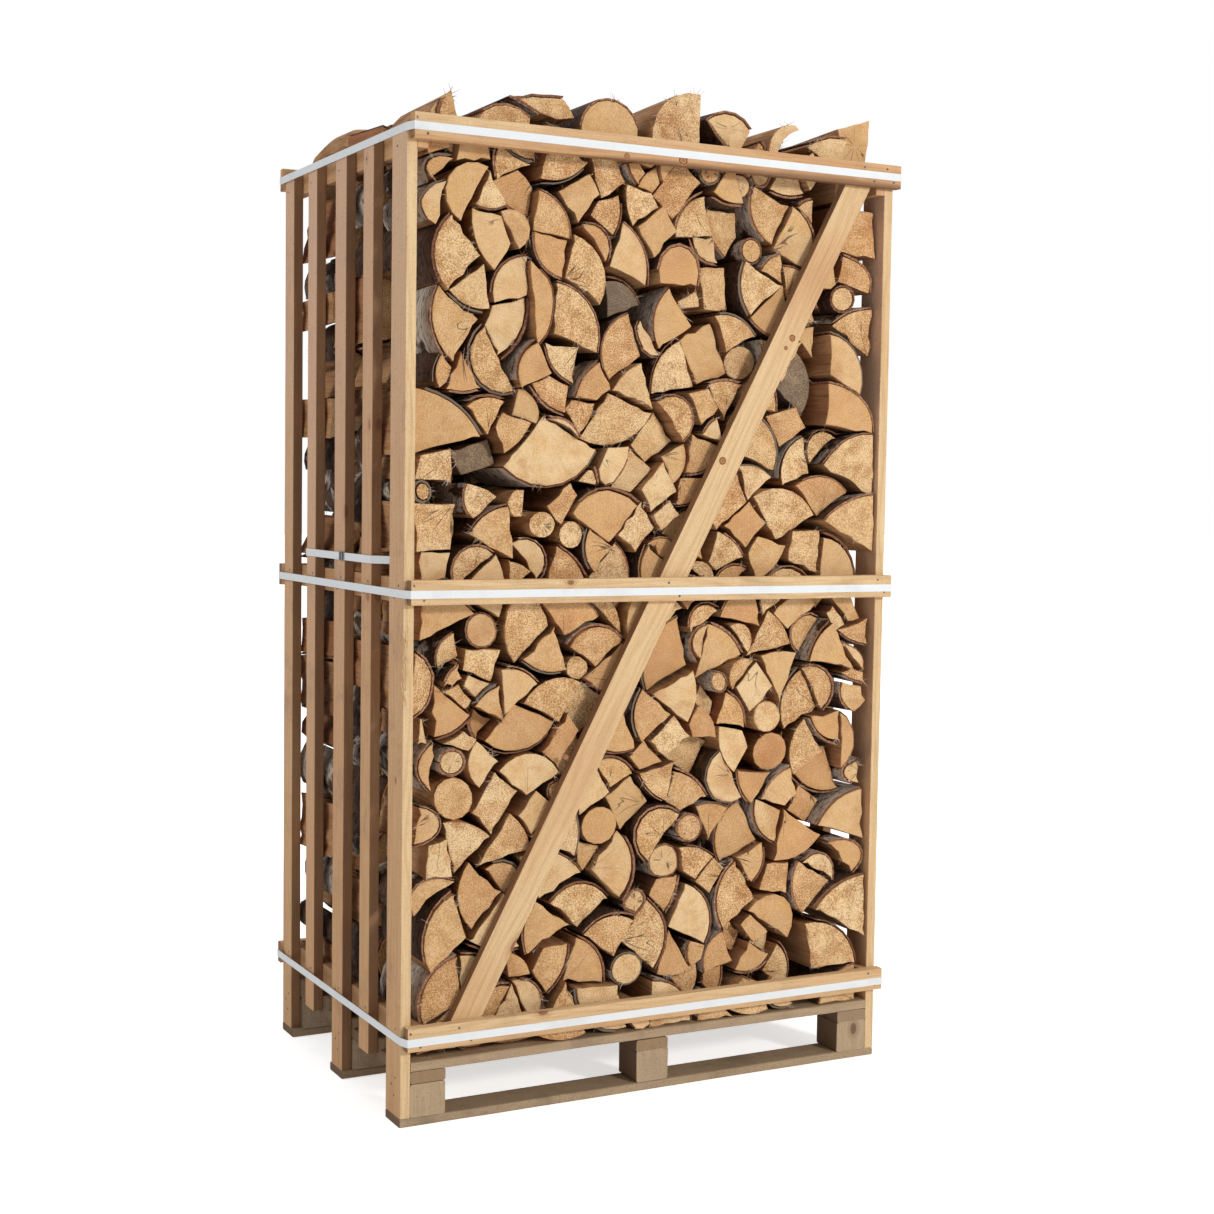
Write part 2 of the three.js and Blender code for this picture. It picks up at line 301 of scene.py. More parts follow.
def makeBarkEdge():
    look = barkFinish
    s = Sheet("bark_edge")
    own = tintOf(s)[-1]
    place = grainOf(s, own)[-1]
    crust = s.cloud(place, 170.0, 4.0, 0.7)
    colour = s.mix(s.fade(crust, 0.3, 0.6), look["inner"], look["rind"])
    colour = s.mix(s.fade(crust, 0.58, 0.72, 0.0, 0.8), colour, look["paper"])
    colour = s.mix(s.fade(s.share(own, 11.9), 0.3, 0.9, 0.0, 0.6), colour, look["inner"])
    return s.finish(colour, s.fade(crust, 0.3, 0.7, 0.7, 0.95), 0.2, Normal=s.bump(crust, 0.003, 0.8))


def makeBark():
    look = barkFinish
    s = Sheet("birch_bark")
    own = tintOf(s)[-1]
    place = grainOf(s, own)[-1]
    tear = s.cloud(s.stretch(place, 14.0, 10.0, 3.0), 1.0, 5.0, 0.6)
    dashes = s.cloud(s.stretch(place, 35.0, 240.0, 3.0), 1.0, 2.0, 0.6)
    crust = s.cloud(place, 90.0, 5.0, 0.7)
    paper = s.mix(s.fade(crust, 0.3, 0.55), look["grey"], look["paper"])
    paper = s.mix(s.fade(dashes, 0.58, 0.66), paper, look["dark"])
    inner = s.mix(s.fade(crust, 0.4, 0.68), look["crust"], look["dark"])
    share = s.fade(s.share(own, 17.3), 0.0, 1.0, 0.42, 0.72)
    colour = s.mix(s.fade(tear - share, -0.03, 0.03), inner, paper)
    normal = s.bump(crust * 1.2 + dashes * 0.5 + tear, 0.006, 0.9)
    return s.finish(colour, s.fade(crust, 0.3, 0.7, 0.6, look["roughness"]), 0.3, Normal=normal)


# Torn fibres: pale, brown or weathered grey, each bunch its own
def makeTornFibre():
    s = Sheet("torn_fibre")
    tone = tintOf(s)[0]
    place = s.node("TexCoord", {}, {}, "Object")
    worn = s.cloud(place, 120.0, 2.0)
    colour = s.mix(s.fade(tone, 0.2, 0.5), paint(70, 46, 30), paint(176, 136, 96))
    colour = s.mix(s.fade(tone, 0.6, 0.8), colour, paint(216, 204, 190))
    colour = s.mix(s.fade(worn, 0.45, 0.7, 0.0, 0.5), colour, paint(110, 78, 52))
    return s.finish(colour, 0.8, 0.2)


# The round side of a log whose bark has come off
def makeBareSide():
    s = Sheet("bare_side")
    own = tintOf(s)[-1]
    place = grainOf(s, own)[-1]
    fibre = s.cloud(s.stretch(place, 190.0, 12.0, 3.0), 1.0, 3.0, 0.6)
    broad = s.cloud(s.stretch(place, 40.0, 14.0, 3.0), 1.0, 4.0)
    colour = s.mix(s.fade(broad, 0.35, 0.65), paint(150, 104, 66), paint(186, 140, 94))
    colour = s.mix(s.fade(fibre, 0.5, 0.7, 0.0, 0.6), colour, paint(84, 54, 36))
    roughness = s.fade(fibre, 0.3, 0.7, 0.6, 0.85)
    return s.finish(colour, roughness, 0.3, Normal=s.bump(fibre + broad, 0.003, 0.7))


# Sawn boards. The grain map runs along the board in its second value.
def makeSawnWood(name, look):
    s = Sheet(name)
    tone, age, own = tintOf(s)
    across, along, place = grainOf(s, own)[1:]
    # knots sit in the cells of a stretched pattern, but stay round
    cells = (look["knotsAcross"], look["knotsAlong"], 1.0)
    lattice = s.vectors("MULTIPLY", place, cells)
    flatCells = {"voronoi_dimensions": "2D"}
    centre, pick = (s.node("TexVoronoi", flatCells, {"Vector": lattice, "Scale": 1.0}, output)
                    for output in ("Position", "Color"))
    chance, spread = s.split(pick)[:2]
    away = s.vectors("DIVIDE", s.vectors("SUBTRACT", lattice, centre), cells)
    away = s.vectors("MULTIPLY", away, (1.0, 0.62, 0.0))
    reach = s.vectors("LENGTH", away, output=1)
    size = s.fade(spread, 0.0, 1.0, look["knot"] * 0.35, look["knot"])
    real = s.fade(chance, look["clear"], look["clear"] + 0.01)
    knot = s.fade(reach / size, 0.75, 1.05, 1.0, 0.0) * real
    halo = s.fade(reach / size, 0.8, 2.6, 1.0, 0.0) * real
    # growth rings run with the board, and swerve round the knots
    warp = s.cloud(s.stretch(place, 9.0, 1.6, 1.0), 1.0, 2.0)
    phase = across * look["rings"] + warp * 7.0 + along * 0.7 + halo * 1.6
    rings = s.maths("SINE", phase * 6.283)
    fibre = s.cloud(s.stretch(place, 520.0, 9.0, 1.0), 1.0, 3.0, 0.7)
    blotch = s.cloud(s.stretch(place, 16.0, 2.2, 1.0), 1.0, 4.0, 0.6)
    colour = s.mix(s.fade(tone, 0.1, 1.0), look["deep"], look["pale"])
    colour = s.mix(s.fade(rings, -0.2, 1.0, 0.0, look["ringShow"]), colour, look["late"])
    colour = s.mix(s.fade(fibre, 0.42, 0.75, 0.0, look["fibreShow"]), colour, look["late"])
    colour = s.mix(s.fade(blotch, 0.45, 0.75, 0.0, 0.35), colour, look["stain"])
    colour = s.mix(halo * 0.45, colour, look["late"])
    colour = s.mix(knot * s.fade(fibre, 0.2, 0.7, 0.95, 0.6), colour, look["knotColour"])
    dirt = s.fade(s.cloud(place, 6.0, 6.0, 0.7), 0.5, 0.75)
    colour = s.mix(dirt * age, colour, look["dirt"])
    colour = s.mix(s.fade(age, 0.45, 1.0, 0.0, 0.75), colour, look["bleach"])
    # tones near 0 turn to the shade colour: painted shade on the faces that the crate and the pallet give
    # such tones
    colour = s.mix(s.fade(tone, 0.0, 0.12, 0.75, 0.0), colour, look["shade"])
    grit = s.cloud(place, 300.0, 3.0, 0.7)
    colour = s.mix(s.fade(grit, 0.52, 0.7, 0.0, look["gritShow"]), colour, look["late"])
    speck = s.fade(s.cloud(s.stretch(place, 1.0, 0.5, 1.0), 380.0, 2.0, 0.8), 0.6, 0.68)
    speck = speck * s.fade(age, 0.3, 0.9, 0.2, 0.6)
    colour = s.mix(speck, colour, look["shade"])
    saw = s.maths("SINE", along * 1500.0 + warp * 9.0)
    height = fibre * 0.9 + rings * 0.12 + grit * 0.4 + saw * look["sawShow"] - knot * 0.3
    roughness = s.fade(fibre, 0.3, 0.8, look["roughness"], 0.9)
    return s.finish(colour, roughness, 0.3, Normal=s.bump(height, 0.0011, 0.6))


softwoodFinish = {
    "pale": paint(226, 198, 153), "deep": paint(203, 160, 117), "late": paint(174, 123, 81),
    "stain": paint(194, 138, 88), "knotColour": paint(118, 72, 42), "dirt": paint(128, 96, 74),
    "shade": paint(104, 72, 52), "bleach": paint(214, 178, 154),
    "rings": 42.0, "ringShow": 0.2, "knot": 0.0115, "knotsAcross": 13.0, "knotsAlong": 1.7, "clear": 0.52,
    "fibreShow": 0.42, "gritShow": 0.3, "sawShow": 0.10, "roughness": 0.62,
}
palletFinish = {
    "pale": paint(185, 162, 132), "deep": paint(154, 127, 96), "late": paint(124, 98, 74),
    "stain": paint(144, 120, 96), "knotColour": paint(96, 68, 48), "dirt": paint(106, 92, 80),
    "shade": paint(90, 68, 50), "bleach": paint(172, 157, 134),
    "rings": 30.0, "ringShow": 0.1, "knot": 0.010, "knotsAcross": 11.0, "knotsAlong": 2.8, "clear": 0.93,
    "fibreShow": 0.26, "gritShow": 0.6, "sawShow": 0.2, "roughness": 0.75,
}


# A knot set in a board, dark at its ring
def makeKnotWood():
    s = Sheet("knot_wood")
    grain = grainOf(s, tintOf(s)[-1])
    reach = s.vectors("LENGTH", grain[0], output=1) + (s.cloud(grain[-1], 1.6, 3.0) - 0.5) * 0.35
    colour = s.mix(s.fade(reach, 0.1, 0.6), paint(150, 98, 60), paint(176, 122, 78))
    colour = s.mix(s.fade(reach, 0.62, 0.74) * s.fade(reach, 0.98, 0.84), colour, paint(92, 54, 32))
    colour = s.mix(s.fade(reach, 0.84, 0.98), colour, paint(206, 160, 114))
    return s.finish(colour, s.fade(reach, 0.0, 1.0, 0.6, 0.75), 0.3)


# Straps: white woven-look plastic tape
def makeStrapPlastic():
    s = Sheet("strap_white")
    place = s.node("TexCoord", {}, {}, "Object")
    x, y, z = s.split(place)
    ribs = s.maths("SINE", z * 5200.0)
    weave = s.maths("SINE", (x + y) * 2600.0) * ribs
    soil = s.cloud(place, 14.0, 5.0, 0.65)
    colour = s.mix(s.fade(soil, 0.5, 0.8, 0.0, 0.3), paint(229, 234, 237), paint(192, 191, 191))
    return s.finish(colour, s.fade(soil, 0.3, 0.7, 0.3, 0.45), 0.5, Normal=s.bump(weave, 0.00018, 0.6))


def makeSteel(name, colour, roughness, crimps=0.0):
    # crimps is how strongly dark bands show across the middle of a seal
    s = Sheet(name)
    place = s.node("TexCoord", {}, {}, "Object")
    spots = s.cloud(place, 260.0, 4.0, 0.65)
    bands = s.maths("COSINE", (s.split(place)[1] - sealMiddle) * (2 * math.pi / 0.014))
    colour = s.mix(s.fade(bands, -0.2, -0.75, 0.0, crimps), colour, paint(44, 40, 38))
    colour = s.mix(s.fade(spots, 0.4, 0.7), colour, paint(70, 62, 56))
    roughness = s.fade(spots, 0.3, 0.7, roughness, roughness + 0.25)
    return s.finish(colour, roughness, 0.5, Metallic=0.85, Normal=s.bump(spots, 0.0003, 0.5))


sealMiddle = sum(corner.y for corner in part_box("tie_seal")) / 2
cutEnd = makeCutEnd()
splitFace = makeSplitFace()
birchBark = makeBark()
barkEdge = makeBarkEdge()
tornFibre = makeTornFibre()
bareSide = makeBareSide()
softwood = makeSawnWood("crate_softwood", softwoodFinish)
palletWood = makeSawnWood("pallet_wood", palletFinish)
knotWood = makeKnotWood()
strapPlastic = makeStrapPlastic()
nailSteel = makeSteel("nail_steel", paint(112, 106, 100), 0.4)
sealSteel = makeSteel("seal_steel", paint(168, 170, 172), 0.3, 1.0)
print("materials are mixed")


def startPiece():
    bm = bmesh.new()
    return bm, bm.loops.layers.uv.new("grain"), bm.loops.layers.float_color.new("tint")


def finishPiece(bm, name, materials, nodes):
    mesh = bpy.data.meshes.new(name)
    bm.to_mesh(mesh)
    bm.free()
    for material in materials:
        mesh.materials.append(material)
    piece = bpy.data.objects.new(name, mesh)
    bpy.context.scene.collection.objects.link(piece)
    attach(piece, "root")
    if nodes:
        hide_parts(*nodes)
    return piece


def addCone(bm, place, aim, radius, tip, depth, sides, slot=0):
    # a small closed cone or disc that points along aim; gives back its faces
    turn = aim.to_track_quat("Z", "Y").to_matrix().to_4x4()
    made = bmesh.ops.create_cone(bm, segments=sides, cap_ends=True, radius1=radius, radius2=tip,
                                 depth=depth, matrix=Matrix.Translation(place) @ turn)
    faces = {face for vert in made["verts"] for face in vert.link_faces}
    for face in faces:
        face.material_index = slot
    return faces


# Boards of the crate and the pallet, each made in the box of its own node
boardShape = {"ease": 0.0016, "step": 0.11, "bow": 0.0007, "rough": 0.00035, "endTone": 0.25}
nailShape = {"radius": 0.0029, "proud": 0.0006, "sides": 10}


def addKnot(bm, grain, tint, place, outward, radius):
    # a flat disc; its grain map runs from 0 in the middle to 1 at the rim
    for face in addCone(bm, place, outward, radius, radius * 0.96, 0.0012, 18, 2):
        for loop in face.loops:
            away = loop.vert.co - place
            loop[grain].uv = (away.x / radius, away.z / radius)
            loop[tint] = (0.5, 0.2, (place.x * 7) % 1, 1.0)


def sawBoard(name, material, rng, tone, age, nails=(), lean=0.0, width=None, rough=1.0,
             faces=None, bands=(), lowerEdgeShade=0.0, knots=(), fresh=0.0):
    # faces gives the tone and age of the faces that look one way, where a tone near 0 is painted shade,
    # bands the change of tone at shares of the length, the next argument the change of tone at the lower
    # edge, painted shade there, and fresh how much the age falls towards the lower end
    low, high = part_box(name)
    size, middle = high - low, (low + high) / 2
    if width:
        size.x = width
    longest = max(range(3), key=lambda axis: size[axis])
    bm, grain, tint = startPiece()
    bmesh.ops.create_cube(bm, size=1.0, matrix=Matrix.Translation(middle) @ Matrix.Diagonal((*size, 1.0)))

    def longEdges():
        return [e for e in bm.edges if abs((e.verts[0].co - e.verts[1].co)[longest]) > size[longest] * 0.9]

    bmesh.ops.bevel(bm, geom=longEdges(), offset=boardShape["ease"] * rough, segments=2, profile=0.5,
                    affect="EDGES", material=-1)
    cuts = max(1, round(size[longest] / boardShape["step"]))
    bmesh.ops.subdivide_edges(bm, edges=longEdges(), cuts=cuts, use_grid_fill=False)
    own = rng.random()
    shift = Vector((rng.uniform(0, 50), rng.uniform(0, 50), rng.uniform(0, 50)))
    offset = Vector((rng.uniform(0, 3), rng.uniform(0, 9)))
    sides = [axis for axis in range(3) if axis != longest]
    for face in bm.faces:
        facing = max(range(3), key=lambda axis: abs(face.normal[axis]))
        ends = facing == longest
        usual = (tone + (boardShape["endTone"] if ends else 0), age)
        faceTone, faceAge = (faces or {}).get("xyz"[facing], usual)
        for loop in face.loops:
            place = loop.vert.co - middle
            girth = place[sides[0]] + place[sides[1]] if not ends else place[sides[0]]
            run = place[longest] if not ends else place[sides[1]]
            loop[grain].uv = (girth + offset.x, run + offset.y)
            share = place[longest] / size[longest] + 0.5
            # the lower edge is darkened as painted shade
            shade = faceTone + lowerEdgeShade * (0.5 - place.z / size.z)
            shade += sum(change * max(0, 1 - abs(share - at) / reach) for at, reach, change in bands)
            loop[tint] = (min(1, max(0, shade)), faceAge * (1 - fresh * (1 - share)), own, 1.0)
    for vert in bm.verts:
        bend = noise.noise_vector((vert.co - middle) * 1.6 + shift) * boardShape["bow"] * rough
        chip = noise.noise_vector(vert.co * 60 + shift) * boardShape["rough"] * rough
        for axis in sides:
            vert.co[axis] += bend[axis] + chip[axis]
        vert.co.z = max(0.0, vert.co.z)
    if lean:
        for vert in bm.verts:
            vert.co.x += (vert.co.z - middle.z) * lean
    for place, outward in nails:
        radius = nailShape["radius"]
        addCone(bm, place, outward, radius, radius * 0.8, nailShape["proud"] * 2, nailShape["sides"], 1)
    for place, outward, radius in knots:
        addKnot(bm, grain, tint, place, outward, radius)
    return finishPiece(bm, name + "_sawn", [material, nailSteel, knotWood], [name])


# Tone, how much darker the lower edge is painted as shade, and where along the rail the tone changes
railLooks = {
    "bottom": (0.72, -0.2, ((0.2, 0.2, 0.1),)),
    "middle": (0.8, -0.1, ()),
    "top": (0.62, -0.6, ((0.1, 0.25, 0.3), (0.42, 0.05, -0.3), (0.78, 0.3, -0.35))),
}

# Knots that show on the outer faces: x, z and radius
railKnots = {
    "bottom": ((0.212, 0.176, 0.006),),
    "middle": (),
    "top": ((-0.106, 1.957, 0.007), (0.026, 1.961, 0.011)),
}
braceKnots = ((0.318, 1.612, 0.008), (0.302, 1.590, 0.005), (-0.215, 0.728, 0.006), (0.148, 1.344, 0.009))
braceBands = ((0.88, 0.08, -0.62), (0.3, 0.12, -0.3), (0.05, 0.05, -0.3))
braceWidth = 0.068


def buildCrate():
    rng = random.Random(11)
    faceFront, faceBack = Vector((0, -1, 0)), Vector((0, 1, 0))
    levels = ("bottom", "middle", "top")
    uprights = ("post_front", "slat_front", "post_middle", "slat_back", "post_back")
    # front and back rails, nailed to the posts and over the brace
    braceLow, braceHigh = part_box("front_brace")
    run = (braceHigh.x - braceLow.x - braceWidth) / (braceHigh.z - braceLow.z)
    for face, outward, sign in (("front", faceFront, 1), ("back", faceBack, -1)):
        for level in levels:
            low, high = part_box(face + "_rail_" + level)
            y = low.y if sign > 0 else high.y
            middle = (low.z + high.z) / 2
            crossing = sign * (braceLow.x + braceWidth / 2 + (middle - braceLow.z) * run)
            crossing = min(0.5, max(-0.5, crossing))
            spots = [(-0.562, 0.014), (-0.541, -0.015), (0.561, -0.013), (0.543, 0.015)]
            spots += [(crossing - 0.012, 0.014), (crossing + 0.014, -0.014)]
            nails = [(Vector((x, y, middle + dz)), outward) for x, dz in spots]
            tone, lowerEdgeShade, bands = railLooks[level]
            knots = [(Vector((sign * x, y, z)), outward, radius) for x, z, radius in railKnots[level]]
            # the end faces of the rails get a tone near 0, which is painted shade
            sawBoard(face + "_rail_" + level, softwood, rng, tone, 0.25, nails,
                     faces={"x": (0.0, 0.4)}, bands=bands, lowerEdgeShade=lowerEdgeShade, knots=knots)
        y = braceLow.y if sign > 0 else -braceLow.y
        knots = [(Vector((sign * x, y, z)), outward, radius) for x, z, radius in braceKnots]
        # the side faces of the brace get a tone near 0, which is painted shade beside the logs
        sawBoard(face + "_brace", softwood, rng, 0.8, 0.12, lean=sign * run,
                 width=braceWidth, faces={"x": (0.02, 0.2)}, bands=braceBands, knots=knots)
    for side, sign in (("left", -1), ("right", 1)):
        outward = Vector((sign, 0, 0))
        for upright in uprights:
            low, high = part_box(side + "_" + upright)
            x = low.x if sign < 0 else high.x
            nails = []
            for level in levels:
                railLow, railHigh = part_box(side + "_inner_rail_" + level)
                middle = (railLow.z + railHigh.z) / 2
                for dy, dz in ((-0.011, 0.012), (0.012, -0.013)):
                    nails.append((Vector((x, (low.y + high.y) / 2 + dy, middle + dz)), outward))
            if upright.startswith("post"):
                nails += [(Vector((x, (low.y + high.y) / 2 + dy, z)), outward)
                          for dy, z in ((-0.014, 0.096), (0.008, 0.078), (-0.006, 0.058))]
            age = rng.uniform(0.2, 0.45)
            wide = (rng.uniform(0.15, 0.35), rng.uniform(0.8, 1.0))
            # the narrow faces of the uprights other than the front post get a tone near 0, painted shade, as
            # the post and the logs keep the light off them
            if upright == "post_front":
                narrow, bands = (0.85, 0.2), ((1.0, 0.6, 0.2), (rng.random(), 0.2, -0.06))
            else:
                narrow, bands = (0.02, 0.3), ((rng.random(), 0.3, 0.03),)
            sawBoard(side + "_" + upright, softwood, rng, 0.8, age, nails,
                     faces={"x": wide, "y": narrow}, bands=bands, fresh=0.5)
        for level in levels:
            # the inner rails get low tones that mix in the shade colour: painted shade between the slats and
            # the logs
            tone = rng.uniform(0.04, 0.14)
            sawBoard(side + "_inner_rail_" + level, softwood, rng, tone, 0.4)


palletTones = {
    "runner_": (0.28, 0.8), "block_": (0.8, 0.75), "stringer_": (0.0, 0.03), "deck_board_": (0.5, 0.8),
}


def buildPallet():
    rng = random.Random(23)
    for name in sorted(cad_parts):
        if name.startswith(tuple(palletTones)):
            low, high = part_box(name)
            nails = []
            if name.startswith("deck_board_"):
                for x in (-0.512, 0, 0.512):
                    for share in (0.28, 0.72):
                        y = low.y + (high.y - low.y) * share
                        place = Vector((x + rng.uniform(-0.01, 0.01), y, high.z))
                        nails.append((place, Vector((0, 0, 1))))
            start = next(start for start in palletTones if name.startswith(start))
            tone = rng.uniform(*palletTones[start])
            # the faces that look along x get a tone near 0, which is painted shade
            sawBoard(name, palletWood, rng, tone, rng.uniform(0.3, 0.7), nails, rough=2.4,
                     faces={"x": (0.02, 0.6)})


splinters = {"count": 40, "length": (0.010, 0.045), "width": (0.0006, 0.0018), "reach": (0.87, 0.99)}


def buildSplinters():
    # the near edge of the left front post is torn at one place
    rng = random.Random(61)
    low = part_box("left_post_front")[0]
    bm, grain, tint = startPiece()
    for _ in range(splinters["count"]):
        length = rng.uniform(*splinters["length"])
        place = Vector((low.x + rng.uniform(0, 0.006), low.y - 0.0004, rng.uniform(*splinters["reach"])))
        aim = Vector((rng.gauss(0.1, 0.16), rng.uniform(-0.12, 0.0), rng.choice((-1, 1)))).normalized()
        faces = addCone(bm, place, aim, rng.uniform(*splinters["width"]), 0.0002, length, 5)
        shade = (rng.uniform(0.5, 1.0), 0.1, rng.random(), 1.0)
        for face in faces:
            for loop in face.loops:
                loop[grain].uv = (loop.vert.co.x, loop.vert.co.z)
                loop[tint] = shade
    finishPiece(bm, "post_splinters", [softwood], [])


buildCrate()
buildSplinters()
buildPallet()
print("crate and pallet are nailed")

for name in ("strap_bottom", "strap_middle", "strap_top", "tie_strap", "tie_seal"):
    material = sealSteel if name == "tie_seal" else strapPlastic
    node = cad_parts[name]
    node.data.materials.clear()
    node.data.materials.append(material)

# How logs are split, and how often each shape turns up. Radii are in metres, spreads in degrees.
logShapes = {
    "quarter": {"share": 34, "radius": (0.080, 0.116), "spread": (76, 112)},
    "wedge": {"share": 20, "radius": (0.092, 0.132), "spread": (44, 70)},
    "half": {"share": 15, "radius": (0.052, 0.080), "spread": (150, 186)},
    "slab": {"share": 7, "radius": (0.085, 0.122), "spread": (80, 105)},
    "round": {"share": 4, "radius": (0.030, 0.048), "spread": (360, 360)},
    "block": {"share": 13, "radius": (0.095, 0.130), "spread": (46, 74)},
    "chunk": {"share": 9, "radius": (0.034, 0.052), "spread": (0, 0)},
}
stackStyle = {
    "column": 0.004, "tries": 46, "turns": (0.06, 0.14, 0.24), "lowFirst": 6.5, "steps": 1.8, "tall": 0.35,
    "big": 18, "smallShare": 0.3, "edgeStep": 0.018, "grow": 0.007, "gap": 0.0011,
    "hole": 0.03, "lean": (0.88, 1.0), "frontTop": 2.052, "backTop": 2.045, "swell": 0.06,
}
fillers = {
    "sizes": (1.0, 0.82, 0.66, 0.54), "tries": 900,
    "kinds": {"slab": (0.105, 95), "wedge": (0.080, 62), "chunk": (0.034, 0), "half": (0.050, 165)},
}


def arcPoints(radius, spread, steps, squash=1.0):
    angles = np.linspace(-spread / 2, spread / 2, steps + 1)
    return np.stack([radius * np.cos(angles), radius * squash * np.sin(angles)], 1)


def splitLog(kind, radius, spread, rng):
    # corners round the pith, and whether the edge that leaves each one is bark
    spread = math.radians(spread)
    if kind in ("quarter", "wedge"):
        ring = arcPoints(radius, spread, 7, rng.uniform(0.92, 1.08))
        return np.vstack([[(0.0, 0.0)], ring]), [0] + [1] * (len(ring) - 1) + [0]
    if kind in ("half", "slab"):
        ring = arcPoints(radius, spread, 8, rng.uniform(0.88, 1.05))
        return ring, [1] * (len(ring) - 1) + [0]
    if kind == "round":
        ring = arcPoints(radius, spread, 14, rng.uniform(0.86, 1.0))[:-1]
        return ring, [1] * len(ring)
    if kind == "block":
        core = radius * rng.uniform(0.3, 0.5)
        skew = rng.uniform(0.75, 1.25)
        inner = [(core * skew * math.cos(spread / 2), core * skew * math.sin(spread / 2)),
                 (core / skew * math.cos(spread / 2), -core / skew * math.sin(spread / 2))]
        ring = arcPoints(radius, spread, 5)
        return np.vstack([inner, ring]), [0, 0] + [1] * (len(ring) - 1) + [0]
    tall = radius * rng.uniform(0.62, 0.85)
    corners = np.array([(-radius, -tall), (radius, -tall), (radius, tall), (-radius, tall)])
    corners = corners + np.array([[rng.uniform(-0.012, 0.012) for _ in range(2)] for _ in range(4)])
    return corners + (rng.uniform(0.02, 0.08), rng.uniform(-0.05, 0.05)), [0] * 4


def areaCentre(outline):
    x, z = outline[:, 0], outline[:, 1]
    nextX, nextZ = np.roll(x, -1), np.roll(z, -1)
    cross = x * nextZ - nextX * z
    area = cross.sum() / 2
    return area, np.array([((x + nextX) * cross).sum(), ((z + nextZ) * cross).sum()]) / (6 * area)


def turned(points, angle):
    c, s = math.cos(angle), math.sin(angle)
    return points @ np.array([[c, s], [-s, c]])


def profile(outline, column):
    # lowest and highest point of an outline on each column it covers
    first = int(math.floor(outline[:, 0].min() / column))
    last = int(math.ceil(outline[:, 0].max() / column))
    xs = ((np.arange(first, last) + 0.5) * column)[:, None]
    ax, az = outline[:, 0], outline[:, 1]
    bx, bz = np.roll(ax, -1), np.roll(az, -1)
    run = np.where(np.abs(bx - ax) < 1e-9, 1e-9, bx - ax)
    z = az + (bz - az) * np.clip((xs - ax) / run, 0, 1)
    hit = (xs >= np.minimum(ax, bx) - column / 2) & (xs <= np.maximum(ax, bx) + column / 2)
    return first, np.where(hit, z, 9).min(1), np.where(hit, z, -9).max(1)


